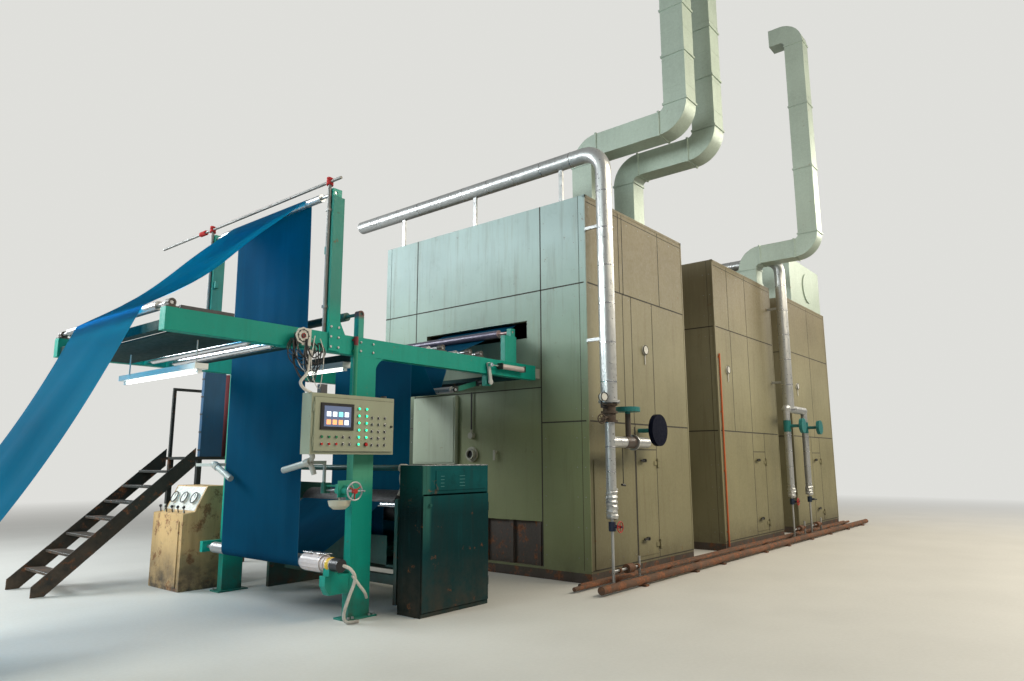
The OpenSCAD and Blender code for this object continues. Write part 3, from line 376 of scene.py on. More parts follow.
DARK_RUST = surface(
    "dark_rust", base=(0.06, 0.042, 0.03), rough=0.75, metal=0.2, var=0.5, streak=0.0, dirt=0.4,
    rust=0.5, bevel=0.001)
NAVY = surface(
    "navy_disc", base=(0.0008, 0.0025, 0.012), rough=0.7, var=0.2, streak=0.1, dirt=0.2,
    bevel=0.001, spec=0.1)
ZINC = surface(
    "zinc_cap", base=(0.28, 0.29, 0.27), rough=0.45, metal=0.5, var=0.2, streak=0.2, dirt=0.2,
    rust=0.15)
BROWN = (0.055, 0.042, 0.035)
BLACK = (0.012, 0.012, 0.013)

# Single nodes whose paint differs from their slot's usual look
SPECIAL = {
    "bearing_blocks": surface(
        "bearing_paint", base=GREEN, var=0.14, streak=0.3, dirt=0.2, rust=0.2,
        zones=[
            ([("Z", 2.741, 2.745), ("X", -4.0, -3.9), ("X", -2.4, -2.5)], BROWN),
            ([("Z", 2.741, 2.745), ("X", -6.2, -6.3)], BROWN),
            ([("Z", 2.93, 2.97), ("X", -4.3, -4.35), ("X", -4.6, -4.55)], (0.09, 0.03, 0.025)),
        ]),
    "conduits": surface(
        "conduit_paint", base=(0.05, 0.05, 0.055), var=0.3, streak=0.2, dirt=0.3, bevel=0.001,
        zones=[
            ([("X", -4.57, -4.565), ("X", -4.49, -4.495)], (0.008, 0.22, 0.13)),
            ([("Z", 2.64, 2.65), ("X", -4.57, -4.565), ("X", -4.49, -4.495)],
             (0.16, 0.012, 0.02)),
        ]),
    "dancer_arms": surface(
        "dancer_paint", base=(0.006, 0.16, 0.11), rough=0.45, metal=0.1, var=0.2, streak=0.2,
        dirt=0.2, rust=0.2,
        zones=[
            ([("Y", -1.235, -1.242)], (0.42, 0.44, 0.43)),
            ([("X", -2.515, -2.505), ("Y", -1.24, -1.23)], BLACK),
            ([("X", -2.80, -2.83), ("Y", -1.24, -1.23)], BLACK),
        ]),
    "dancer_cylinder": surface(
        "cylinder_white", base=(0.60, 0.50, 0.49), rough=0.35, metal=0.2, var=0.08, streak=0.1,
        dirt=0.15,
        zones=[
            ([("X", -2.306, -2.308)], BLACK),
            ([("X", -1.884, -1.882)], BLACK),
        ]),
    "pipe_valves": surface(
        "valve_paint", base=(0.012, 0.16, 0.16), rough=0.42, metal=0.1, var=0.25, streak=0.2,
        dirt=0.4, rust=0.45,
        zones=[
            ([("Z", 2.09, 2.08), ("Z", 1.55, 1.56), ("X", -0.6, -0.65)], (0.06, 0.04, 0.03)),
            ([("Z", 1.8, 1.79), ("Z", 0.8, 0.79)], (0.01, 0.02, 0.05)),
        ]),
    "gantry_ties": surface(
        "tie_paint", base=(0.006, 0.035, 0.034), rough=0.7, var=0.2, streak=0.2, dirt=0.3,
        spec=0.2,
        zones=[
            ([("X", -1.545, -1.540)], (0.34, 0.35, 0.30)),
        ]),
    "front_hatch": surface(
        "hatch_paint", base=(0.30, 0.30, 0.23), var=0.1, streak=0.3, dirt=0.2, rust=0.1,
        zones=[
            ([("Y", 0.25, 0.26)], (0.33, 0.385, 0.285)),
            ([("Z", 1.93, 1.94), ("Y", 0.2, 0.19)], BLACK),
        ]),
    "slot_roller": surface(
        "slot_roller_metal", base=(0.10, 0.09, 0.13), rough=0.35, metal=0.3, var=0.15,
        streak=0.15, dirt=0.2,
        zones=[
            ([("Y", -0.975, -0.985)], (0.50, 0.33, 0.33)),
        ]),
    "drive_motor": surface(
        "motor_white", base=(0.62, 0.53, 0.51), rough=0.42, var=0.10, streak=0.2, dirt=0.3,
        rust=0.1),
    "upper_bar": surface(
        "bar_steel", base=(0.16, 0.16, 0.155), metal=0.4, var=0.2, streak=0.2, dirt=0.2,
        rust=0.25),
    "guide_arms": surface(
        "guide_white", base=(0.46, 0.48, 0.44), rough=0.42, metal=0.1, streak=0.2, dirt=0.3,
        rust=0.12,
        zones=[
            ([("Z", 1.30, 1.29), ("Z", 1.17, 1.18), ("Y", -0.90, -0.92)], (0.006, 0.14, 0.10)),
            ([("Z", 1.19, 1.18), ("Y", -1.1, -1.11)], (0.52, 0.49, 0.38)),
        ]),
}
for part in frame["record"]["subparts"]:
    look = SPECIAL.get(part["node"], MAT.get(part["material_slot"], MAT["black_parts"]))
    coats = NODES[part["node"]].data.materials
    coats.clear()
    coats.append(look)


def add_box(bm, x0, x1, y0, y1, z0, z1):
    middle = ((x0 + x1) / 2, (y0 + y1) / 2, (z0 + z1) / 2)
    size = (abs(x1 - x0), abs(y1 - y0), abs(z1 - z0), 1)
    bmesh.ops.create_cube(bm, size=1.0, matrix=Matrix.Translation(middle) @ Matrix.Diagonal(size))


def around(count):
    turns = [2 * math.pi * i / count for i in range(count)]
    return [(math.cos(a), math.sin(a)) for a in turns]


# Gathers simple forms into one piece, painted as its slot unless a material is given
class Kit:
    def __init__(self, name, slot, mat=None, body=ROOT):
        self.name, self.slot, self.body = name, slot, body
        self.mat = mat or MAT[slot]
        self.bm = bmesh.new()

    def box(self, x0, x1, y0, y1, z0, z1):
        add_box(self.bm, x0, x1, y0, y1, z0, z1)

    def cyl(self, a, b, r, seg=24, r2=None):
        a, b = Vector(a), Vector(b)
        d = b - a
        q = d.to_track_quat("Z", "Y").to_matrix().to_4x4()
        bmesh.ops.create_cone(self.bm, cap_ends=True, segments=seg, radius1=r,
                              radius2=r if r2 is None else r2, depth=d.length,
                              matrix=Matrix.Translation((a + b) / 2) @ q)

    def post(self, x, y, z0, z1, r, seg=24):
        self.cyl((x, y, z0), (x, y, z1), r, seg)

    def ball(self, c, r):
        bmesh.ops.create_uvsphere(self.bm, u_segments=16, v_segments=10, radius=r,
                                  matrix=Matrix.Translation(c))

    def skin(self, rings):
        for a, b in zip(rings, rings[1:]):
            k = len(a)
            for j in range(k):
                self.bm.faces.new((a[j], a[(j + 1) % k], b[(j + 1) % k], b[j]))

    def ring(self, c, along, R, r, n=32, k=10):
        q = Vector(along).to_track_quat("Z", "Y").to_matrix()
        c = Vector(c)
        vs = []
        for i in range(n):
            a = 2 * math.pi * i / n
            for j in range(k):
                t = 2 * math.pi * j / k
                out = R + r * math.cos(t)
                p = Vector((out * math.cos(a), out * math.sin(a), r * math.sin(t)))
                vs.append(self.bm.verts.new(c + q @ p))
        for i in range(n):
            here, there = i * k, ((i + 1) % n) * k
            for j in range(k):
                side = (j + 1) % k
                self.bm.faces.new((vs[here + j], vs[there + j], vs[there + side],
                                   vs[here + side]))

    def tube(self, pts, r, seg=8, steps=6):
        P = [Vector(p) for p in pts]
        path = []
        for i in range(len(P) - 1):
            p0, p1, p2, p3 = P[max(i - 1, 0)], P[i], P[i + 1], P[min(i + 2, len(P) - 1)]
            for s in range(steps):
                t = s / steps
                path.append(0.5 * ((2 * p1) + (p2 - p0) * t
                                   + (2 * p0 - 5 * p1 + 4 * p2 - p3) * t * t
                                   + (3 * p1 - p0 - 3 * p2 + p3) * t ** 3))
        path.append(P[-1])
        rings = []
        up = Vector((0, 0, 1))
        for i, p in enumerate(path):
            d = (path[min(i + 1, len(path) - 1)] - path[max(i - 1, 0)]).normalized()
            side = d.cross(up)
            if side.length < 0.2:
                side = d.cross(Vector((1, 0, 0)))
            side.normalize()
            up = side.cross(d).normalized()
            rings.append([self.bm.verts.new(p + r * (math.cos(2 * math.pi * j / seg) * side
                                                     + math.sin(2 * math.pi * j / seg) * up))
                          for j in range(seg)])
        self.skin(rings)
        self.bm.faces.new(rings[0][::-1])
        self.bm.faces.new(rings[-1])

    def done(self, smooth=False):
        me = bpy.data.meshes.new(self.name)
        bmesh.ops.recalc_face_normals(self.bm, faces=self.bm.faces)
        self.bm.to_mesh(me)
        self.bm.free()
        o = bpy.data.objects.new(self.name, me)
        bpy.context.collection.objects.link(o)
        me.materials.append(self.mat)
        for p in me.polygons:
            p.use_smooth = smooth
        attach(o, self.body)


# Chambers: dark seams between the panels, on the near side and on the end that faces the cloth.
# Their dark is partly the joints and partly painted shade of the gaps
NEAR = -1.98
HALF_LONG = 1.415
CHAMBERS = (0.0, 4.035, 7.785)
ROOF_Z = 5.0
PLINTH_Z = 0.15
LOW_Z, HIGH_Z = 1.99, 3.80
LINTEL_Z = 1.64
EAVES_Z = 4.91
PANEL_Y = 1.238
CORNER_Y = 1.876
PROUD = 0.0015
SUNK = 0.002
SEAM_HALF = 0.0065
END_HALF = 0.009
CORNER_HALF = 0.003
seams = Kit("chamber_seams", "base_steel", SEAM_DARK_AND_SHADE)


def upright_seam(x, z0, z1):
    seams.box(x - SEAM_HALF, x + SEAM_HALF, NEAR - PROUD, NEAR + SUNK, z0, z1)


def level_seam(x0, x1, z, wide=1.0):
    half = SEAM_HALF * wide
    seams.box(x0, x1, NEAR - PROUD, NEAR + SUNK, z - half, z + half)


def end_seam(cx, y0, y1, z0, z1):
    seams.box(cx - HALF_LONG - PROUD, cx - HALF_LONG + SUNK, y0, y1, z0, z1)


for cx, low, mid, top in zip(
        CHAMBERS,
        ((-0.250, 0.342), (0.037, 0.629), (-0.250, 0.342)),
        ((-0.495, -0.265, 0.345), (-0.75, 0.06), (0.06,)),
        ((-0.565, -0.465, 0.605), (-0.79, 0.06), (0.06,))):
    for row, z0, z1 in ((low, PLINTH_Z, LOW_Z), (mid, LOW_Z, HIGH_Z), (top, HIGH_Z, ROOF_Z)):
        for x in row:
            upright_seam(cx + x, z0, z1)
    for z, wide in ((LOW_Z, 1.5), (HIGH_Z, 1.5), (EAVES_Z, 0.8), (PLINTH_Z, 1.2)):
        level_seam(cx - HALF_LONG, cx + HALF_LONG, z, wide)
    level_seam(cx + low[0], cx + low[1], LINTEL_Z)
    for y0, y1, z in ((NEAR, -PANEL_Y, LOW_Z), (PANEL_Y, -NEAR, LOW_Z), (NEAR, -NEAR, HIGH_Z)):
        end_seam(cx, y0, y1, z - END_HALF, z + END_HALF)
    for y in (-PANEL_Y, PANEL_Y):
        end_seam(cx, y - END_HALF, y + END_HALF, PLINTH_Z, ROOF_Z)
    for y in (-CORNER_Y, CORNER_Y):
        end_seam(cx, y - CORNER_HALF, y + CORNER_HALF, PLINTH_Z, ROOF_Z)
    end_seam(cx, -PANEL_Y, PANEL_Y, 2.456, 2.470)
seams.box(CHAMBERS[0] - 0.283, CHAMBERS[0] - 0.252, NEAR - PROUD, NEAR + SUNK, 0.2, 1.95)
seams.done()

SCREW_R = 0.007
SCREW_OUT = 0.003
SCREW_EDGE = 0.06
k = Kit("panel_screws", "galvanised", ZINC)
for cx in CHAMBERS:
    for z in (LOW_Z - SCREW_EDGE, LOW_Z + SCREW_EDGE, HIGH_Z - SCREW_EDGE, HIGH_Z + SCREW_EDGE,
              0.25, 4.85):
        for i in range(9):
            x = cx - 1.32 + i * 0.33
            k.cyl((x, NEAR + SUNK, z), (x, NEAR - SCREW_OUT, z), SCREW_R, 8)
    for y in (-1.92, -1.80, -1.3, 1.3, 1.8, 1.92):
        for i in range(13):
            z = 0.3 + i * 0.37
            k.cyl((cx - HALF_LONG + SUNK, y, z), (cx - HALF_LONG - SCREW_OUT, y, z), SCREW_R, 8)
k.done()

STRIP_OUT = 0.004
STRIP_IN = 0.03
k = Kit("corner_strips", "chamber_front")
for cx in CHAMBERS:
    left, right = cx - HALF_LONG, cx + HALF_LONG
    for x0, x1, z0, z1 in ((left - STRIP_OUT, left + STRIP_IN, PLINTH_Z, ROOF_Z),
                           (right - STRIP_IN, right + STRIP_OUT, PLINTH_Z, ROOF_Z),
                           (left - STRIP_OUT, right + STRIP_OUT, 4.965, 5.003)):
        k.box(x0, x1, NEAR - STRIP_OUT, NEAR + STRIP_IN, z0, z1)
k.box(-1.33, -1.23, NEAR - 0.012, NEAR, 0.16, 1.5)
k.done()

LEVER_OUT = 0.052
for i, door_x in enumerate((CHAMBERS[0] - 0.25, CHAMBERS[1] + 0.037, CHAMBERS[2] - 0.25), 1):
    k = Kit("door_levers_%d" % i, "black_parts", body="chamber_%d_door" % i)
    for dx, z in ((0.183, 1.489), (0.218, 0.431)):
        x = door_x + dx
        k.cyl((x, NEAR, z), (x, NEAR - LEVER_OUT, z), 0.024, 20)
        k.box(x - 0.125, x + 0.016, NEAR - LEVER_OUT, NEAR - 0.038, z - 0.014, z + 0.014)
    k.done()

# Thermometer dials on the chambers
DIAL_Z = 3.07
rims = Kit("dial_faces", "black_parts")
faces = Kit("dial_glass", "dial_white")
for x in (0.081, CHAMBERS[1] - 0.968, CHAMBERS[2] - 0.968):
    rims.ring((x, NEAR - 0.030, DIAL_Z), (0, 1, 0), 0.064, 0.007)
    faces.cyl((x, NEAR - 0.029, DIAL_Z), (x, NEAR - 0.0335, DIAL_Z), 0.060, 32)
    rims.box(x - 0.002, x + 0.002, NEAR - 0.0345, NEAR - 0.0335, 3.06, 3.115)
rims.done()
faces.done()

# Control box: the lit screen, its tiles, lamps, buttons and selector levers, on its door
BOX_SIDE = 1.230
BOX_GAP = 0.0004
BOX_DEPTH = 0.150
DOOR_DEPTH = 0.0154
DOOR_Y = -(BOX_SIDE + BOX_GAP + BOX_DEPTH) - DOOR_DEPTH
PANEL_FACE = DOOR_Y - 0.0118
CAP_R = 0.0115
CAP_OUT = 0.004
BUTTON_ROWS = (1.720, 1.654)
LAMPS = [(-4.578, 1.998 - 0.0684 * i) for i in range(6)]
LAMPS += [(-4.487, 1.998 - 0.0684 * i) for i in range(5)]
SELECTORS = [(x, 1.918 - 0.0666 * i) for x in (-4.411, -4.329, -4.248) for i in range(5)]
BUTTONS = [(-5.0 + 0.081 * i, z) for i in range(5) for z in BUTTON_ROWS]
KEYS = [(x, z) for x in (-4.757, -4.676) for z in BUTTON_ROWS]

k = Kit("screen_glass", "black_parts", SCREEN, "control_door")
k.box(-4.985, -4.678, DOOR_Y - 0.0135, DOOR_Y - 0.0119, 1.815, 2.008)
k.done()
for name, mat, cells in (
        ("tiles_white", TILE_W, [(0, 1), (1, 1), (3, 1), (3, 0)]),
        ("tiles_cyan", TILE_C, [(2, 1)]),
        ("tiles_orange", TILE_O, [(0, 0), (1, 0), (2, 0)])):
    k = Kit(name, "black_parts", mat, "control_door")
    for column, row in cells:
        x = -4.958 + column * 0.068
        z = 1.835 + row * 0.075
        k.box(x, x + 0.048, DOOR_Y - 0.0145, DOOR_Y - 0.0134, z, z + 0.045)
    k.done()
for name, mat, slot, pts in (
        ("lamps_green", GREEN_ON, "black_parts", LAMPS),
        ("caps_green", GREEN_CAP, "black_parts", BUTTONS[0:6:2]),
        ("caps_red", RED_CAP, "red_plastic", BUTTONS[1:6:2])):
    k = Kit(name, slot, mat, "control_door")
    for x, z in pts:
        k.cyl((x, PANEL_FACE, z), (x, DOOR_Y - 0.012 - CAP_OUT, z), CAP_R, 18)
    k.done()
k = Kit("selector_levers", "dial_white", body="control_door")
for x, z in SELECTORS + KEYS:
    k.box(x - 0.003, x + 0.003, DOOR_Y - 0.018, PANEL_FACE, z - 0.010, z + 0.010)
k.done()
k = Kit("button_rings", "bright_steel", body="control_door")
for x, z in LAMPS + SELECTORS + BUTTONS:
    k.ring((x, DOOR_Y - 0.0045, z), (0, 1, 0), 0.0135, 0.002, 18, 6)
k.done(True)
# Dark lines at the door's top and bottom edges: partly painted shade of its gap
k = Kit("door_seal", "black_parts", SEAM_DARK_AND_SHADE, "control_door")
for z in (1.5865, 2.0885):
    k.box(-5.081, -4.145, DOOR_Y - 0.001, DOOR_Y + 0.001, z - 0.0012, z + 0.0012)
k.done()


# Cloth: one sheet that follows the rollers, with soft folds in its free runs
def axis(node):
    low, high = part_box(node)
    return (low[0] + high[0]) / 2, (low[2] + high[2]) / 2


CLOTH_THICK = 0.004
CLOTH_GAP = 0.0005
HALF_WIDE = 0.735
COLUMNS = 54
STEP = 0.045
TROUGH_Z = 0.52
NIP = (axis("mangle_roll_1")[0] + axis("mangle_roll_2")[0]) / 2
# Each point is x, z, the roller's radius, and 1 where the cloth passes below it, -1 above it
PATH = [
    (-7.96, 0.06, 0, 0),
    (*axis("entry_roller"), 0.04, -1),
    (*axis("top_roller"), 0.04, -1),
    (*axis("bottom_roller"), 0.06, 1),
    (*axis("mangle_guide_roller"), 0.0275, -1),
    (NIP - 0.3075, TROUGH_Z, 0.06, 1),
    (NIP - 0.0625, TROUGH_Z, 0.06, 1),
    (*axis("guide_roller_1"), 0.04, -1),
    (*axis("dancer_roller"), 0.04, 1),
    (*axis("guide_roller_3"), 0.04, -1),
    (*axis("slot_roller"), 0.0525, 1),
    (-1.2, 3.44, 0, 0),
]


def reach_of(p):
    return 0.0 if p[3] == 0 else p[2] + CLOTH_GAP + CLOTH_THICK / 2


def slope(a, b):
    dx, dz = b[0] - a[0], b[1] - a[1]
    lean = math.asin((b[3] * reach_of(b) - a[3] * reach_of(a)) / math.hypot(dx, dz))
    return math.atan2(dz, dx) - lean


def touch(p, a):
    return p[0] + p[3] * reach_of(p) * math.sin(a), p[1] - p[3] * reach_of(p) * math.cos(a)


# How far the sheet stands off its path at width y, a share u along free run number leg
def fold(leg, y, u, along):
    if leg < 0:
        return 0.0
    env = math.sin(math.pi * u)
    if leg == 0:
        return env * (-0.10 + 0.028 * math.sin(4.1 * y + 1.5 * u)
                      + 0.010 * math.sin(11 * y + 3 * u))
    if leg == 1:
        return env * (-0.06 + 0.030 * math.sin(4.6 * y + 5.2 * u + 0.6)
                      + 0.013 * math.sin(10.5 * y - 7 * u) + 0.006 * math.sin(23 * y + 9 * u))
    if leg == 2:
        ph = along * 1.1
        return env ** 0.5 * (0.006 * math.sin(5.3 * y + 0.8 * ph)
                             + 0.0035 * math.sin(12.5 * y + 0.5 * ph + 1.0)
                             + 0.0016 * math.sin(27 * y - 0.7 * ph))
    if leg == 3:
        return env ** 0.5 * (-0.02 + 0.008 * math.sin(6.2 * y + 1.0 + u)
                             + 0.003 * math.sin(17 * y))
    return env * 0.0035 * math.sin(7.0 * y + leg)


rows = []
slopes = [slope(a, b) for a, b in zip(PATH, PATH[1:])]
for i, angle in enumerate(slopes):
    b = PATH[i + 1]
    p, q = touch(PATH[i], angle), touch(b, angle)
    count = max(2, int(math.hypot(q[0] - p[0], q[1] - p[1]) / STEP))
    for j in range(count):
        rows.append((p[0] + (q[0] - p[0]) * j / count, p[1] + (q[1] - p[1]) * j / count, angle,
                     i, j / count))
    if i + 1 < len(slopes):
        turn = slopes[i + 1] - angle
        if b[3] > 0 and turn < -0.001:
            turn += 2 * math.pi
        if b[3] < 0 and turn > 0.001:
            turn -= 2 * math.pi
        steps = max(1, int(abs(turn) / 0.2))
        for j in range(steps):
            t = angle + turn * j / steps
            rows.append((*touch(b, t), t, -1, 0))
    else:
        rows.append((*q, angle, i, 1.0))
run = [0.0]
for a, b in zip(rows, rows[1:]):
    run.append(run[-1] + math.hypot(b[0] - a[0], b[1] - a[1]))
vs, fs = [], []
for (x, z, angle, leg, u), along in zip(rows, run):
    nx, nz = -math.sin(angle), math.cos(angle)
    for c in range(COLUMNS + 1):
        y = -HALF_WIDE + 2 * HALF_WIDE * c / COLUMNS
        off = fold(leg, y, u, along)
        vs.append((x + nx * off, y, z + nz * off))
for r in range(len(rows) - 1):
    for c in range(COLUMNS):
        a = r * (COLUMNS + 1) + c
        fs.append((a, a + 1, a + COLUMNS + 2, a + COLUMNS + 1))
me = bpy.data.meshes.new("cloth")
me.from_pydata(vs, [], fs)
uv = me.uv_layers.new(name="UVMap")
for lp in me.loops:
    r, c = divmod(lp.vertex_index, COLUMNS + 1)
    uv.data[lp.index].uv = (2 * HALF_WIDE * c / COLUMNS, run[r])
for p in me.polygons:
    p.use_smooth = True
cloth = bpy.data.objects.new("cloth", me)
bpy.context.collection.objects.link(cloth)

# Dyed cotton: faded blotches, a fine weave, paler edges, and light through the runs that
# stand before the windows
WEAVE = 900.0
EDGE_IN, EDGE_OUT = 0.012, 0.009
m, nt, b = new_mat("dyed_cloth")
tc = nt.nodes.new("ShaderNodeTexCoord")
co = tc.outputs["Object"]
base = mix(nt, ramp(nt, noise(nt, co, 1.1, 4.0), 0.35, 0.65), (0.0006, 0.029, 0.066),
           (0.001, 0.050, 0.103))
fade = noise(nt, co, 4.0, 6.0, 0.6, (1.0, 3.0, 0.12))
base = mix(nt, times(nt, ramp(nt, fade, 0.5, 0.72), 0.4), base, (0.0015, 0.062, 0.12))
fine = nt.nodes.new("ShaderNodeMapping")
fine.inputs["Scale"].default_value = (WEAVE, WEAVE, 1.0)
nt.links.new(tc.outputs["UV"], fine.inputs["Vector"])
weave = nt.nodes.new("ShaderNodeTexChecker")
weave.inputs["Scale"].default_value = 1.0
nt.links.new(fine.outputs["Vector"], weave.inputs["Vector"])
base = mix(nt, times(nt, weave.outputs["Fac"], 0.12), base, (0.002, 0.066, 0.13))
across = calc(nt, "ABSOLUTE", calc(nt, "SUBTRACT", xyz(nt, tc.outputs["UV"])["X"], HALF_WIDE))
edge = ramp(nt, across, HALF_WIDE - EDGE_IN, HALF_WIDE - EDGE_OUT, 0.0, 0.3)
base = mix(nt, edge, base, (0.05, 0.13, 0.18))
nt.links.new(base, b.inputs["Base Color"])
b.inputs["Roughness"].default_value = 0.82
b.inputs["Specular IOR Level"].default_value = 0.03
normal = relief(nt, noise(nt, co, 55.0, 6.0, 0.7, (1.0, 1.0, 0.5)), 0.35, 0.002)
normal = relief(nt, noise(nt, co, 5.0, 4.0, 0.55, (1.0, 2.2, 0.35)), 0.5, 0.01, normal)
nt.links.new(normal, b.inputs["Normal"])
through = nt.nodes.new("ShaderNodeBsdfTranslucent")
through.inputs["Color"].default_value = (0.004, 0.55, 1.0, 1)
x_at = xyz(nt, co)["X"]
lit = times(nt, ramp(nt, x_at, -4.80, -5.05, 0.06, 0.85), ramp(nt, x_at, -6.9, -6.3, 0.35, 1.0))
nt.links.new(mix_shaders(nt, lit, b.outputs[0], through.outputs[0]),
             nt.nodes["Material Output"].inputs["Surface"])
me.materials.append(m)
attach(cloth, ROOT)
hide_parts("cloth_web")

# Steam pipes: bands, torn foil at the lower ends, a gauge and a valve
PIPE_Y = -2.28
DROP_X = -1.40
RISER_X = 5.285
PAIR_X = (5.125, 6.185)
RUN_Z = 5.55
BAND_R = 0.1065
BAND_WIDE = 0.018
k = Kit("pipe_bands", "bright_steel")
for x in (DROP_X, RISER_X):
    for i in range(6):
        z = 2.45 + i * 0.5
        k.post(x, PIPE_Y, z, z + BAND_WIDE, BAND_R, 40)
    for i in range(9):
        y = -1.8 + i * 0.5
        k.cyl((x, y, RUN_Z), (x, y + BAND_WIDE, RUN_Z), BAND_R, 40)
for x in (DROP_X, *PAIR_X):
    for z in (1.0, 1.35, 1.65, 1.95):
        k.post(x, PIPE_Y, z, z + 0.014, 0.064, 32)
k.done()

FOIL_R = 0.066
FOIL_SWELL = 0.012
SHIFT = 0.007
k = Kit("foil_ends", "silver_lagging")
for x, rings in zip((DROP_X, *PAIR_X), (13, 6, 6)):
    for j in range(rings):
        z = 0.79 + 0.028 * j
        dx, dy = rng.uniform(-SHIFT, SHIFT), rng.uniform(-SHIFT, SHIFT)
        k.cyl((x + dx, PIPE_Y + dy, z), (x - dy, PIPE_Y + dx, z + 0.034),
              FOIL_R + FOIL_SWELL * (j % 2), 9, r2=FOIL_R + FOIL_SWELL * ((j + 1) % 2))
k.done()

# The gauge and the hand wheel share an axis that is turned a little from Y
SKEW = 0.35
SKEW_AXIS = (SKEW, 1, 0)
GAUGE_R = 0.05
GAUGE_FACE = (-1.615, -2.35, 2.26)
k = Kit("pipe_gauge", "dial_white")
k.cyl((-1.60, -2.31, 2.26), GAUGE_FACE, GAUGE_R, 28)
k.done()
k = Kit("pipe_gauge_rim", "black_parts")
k.ring(GAUGE_FACE, SKEW_AXIS, 0.052, 0.007)
k.cyl((-1.592, -2.29, 2.26), (-1.60, -2.312, 2.26), GAUGE_R, 20)
k.cyl((-1.60, -2.295, 2.21), (-1.60, -2.295, 2.13), 0.012, 10)
k.cyl((-1.60, -2.295, 2.14), (DROP_X, -2.285, 2.14), 0.014, 10)
k.post(-1.11, PIPE_Y, 1.19, 1.66, 0.005, 10)
k.cyl((-1.15, PIPE_Y, 1.195), (-1.07, PIPE_Y, 1.185), 0.014, 10)
k.done()

WHEEL = (-1.66, -2.33, 1.99)
WHEEL_R = 0.055
k = Kit("drop_valve", "rusty_pipe", DARK_RUST)
k.post(DROP_X, PIPE_Y, 1.97, 2.19, 0.080, 28)
for z in (1.96, 2.07, 2.165):
    k.post(DROP_X, PIPE_Y, z, z + 0.025, 0.104, 28)
k.ring(WHEEL, SKEW_AXIS, WHEEL_R, 0.008)
k.cyl(WHEEL, (DROP_X, -2.285, 2.03), 0.014, 10)
for a in (0, 60, 120):
    c, s = WHEEL_R * math.cos(math.radians(a)), WHEEL_R * math.sin(math.radians(a))
    x, y, z = WHEEL
    k.cyl((x - c, y + SKEW * c, z - s), (x + c, y - SKEW * c, z + s), 0.005, 8)
k.done()

# Bolts of the pipes' flanges, the posts' feet and the plates where beam and post meet
FLANGE_R = 0.12
k = Kit("flange_bolts", "roller_steel")
for x, z0, z1 in ((DROP_X, 2.19, 2.212), (RISER_X, 2.46, 2.482)):
    for c, s in around(8):
        k.post(x + FLANGE_R * c, PIPE_Y + FLANGE_R * s, z0, z1, 0.011, 6)
for s in (-1, 1):
    for x in (-4.52, -4.47, -4.27, -4.22):
        k.post(x, s * 1.265, 0.016, 0.034, 0.014, 6)
    for x in (-4.83, -4.74):
        for z in (2.60, 2.70, 2.80):
            k.cyl((x, s * 1.242, z), (x, s * 1.252, z), 0.012, 6)
    for x in (-4.45, -4.29):
        for z in (2.60, 2.69):
            k.cyl((x, s * 1.230, z), (x, s * 1.240, z), 0.012, 6)
k.done()

# Leads on the near side: a tangle under the beam, and the motor's lead in white wrap
BEAM_Z = 2.62
k = Kit("beam_cables", "black_parts")
for j in range(16):
    x0 = -5.22 + rng.uniform(-0.08, 0.14)
    x1 = -5.10 + rng.uniform(-0.10, 0.16)
    sag = rng.uniform(0.16, 0.40)
    y = -1.27 - rng.uniform(0.0, 0.07)
    k.tube([(x0, y, BEAM_Z),
            (x0 + rng.uniform(-0.05, 0.03), y - 0.02, BEAM_Z - sag * 0.6),
            ((x0 + x1) / 2, y - 0.03, BEAM_Z - sag),
            (x1 + rng.uniform(-0.03, 0.05), y - 0.01, BEAM_Z - sag * 0.5),
            (x1, y, 2.60)], rng.uniform(0.004, 0.008), 6, 5)
k.done(True)
k = Kit("beam_cables_white", "white_paint", WRAP)
for j in range(3):
    x0 = -5.16 + rng.uniform(-0.12, 0.12)
    sag = rng.uniform(0.2, 0.46)
    y = -1.30 - rng.uniform(0.0, 0.06)
    k.tube([(x0, y, 2.66), (x0 - 0.04, y - 0.02, BEAM_Z - sag * 0.6),
            (x0 + 0.05, y - 0.03, BEAM_Z - sag), (x0 + 0.1, y - 0.01, 2.66 - sag * 0.4),
            (x0 + 0.06, y, 2.64)], rng.uniform(0.0025, 0.0045), 6, 5)
k.tube([(-5.08, -1.32, 2.127), (-5.17, -1.35, 2.15), (-5.225, -1.36, 2.21),
        (-5.16, -1.36, 2.30), (-5.14, -1.35, 2.40), (-5.12, -1.34, 2.52)], 0.014, 8, 6)
k.done(True)
MX, MZ = axis("bottom_roller")
k = Kit("motor_lead", "white_paint", WRAP)
k.tube([(MX + 0.02, -1.33, MZ), (MX + 0.09, -1.37, MZ - 0.04), (MX + 0.15, -1.36, MZ - 0.14),
        (MX + 0.10, -1.34, MZ - 0.30), (MX + 0.05, -1.34, 0.09), (MX + 0.06, -1.37, 0.024),
        (MX + 0.16, -1.42, 0.022)], 0.016, 10, 6)
k.tube([(MX + 0.12, -1.36, MZ - 0.10), (MX + 0.20, -1.37, MZ - 0.20),
        (MX + 0.27, -1.36, MZ - 0.27), (MX + 0.32, -1.33, MZ - 0.33)], 0.014, 10, 6)
k.done(True)

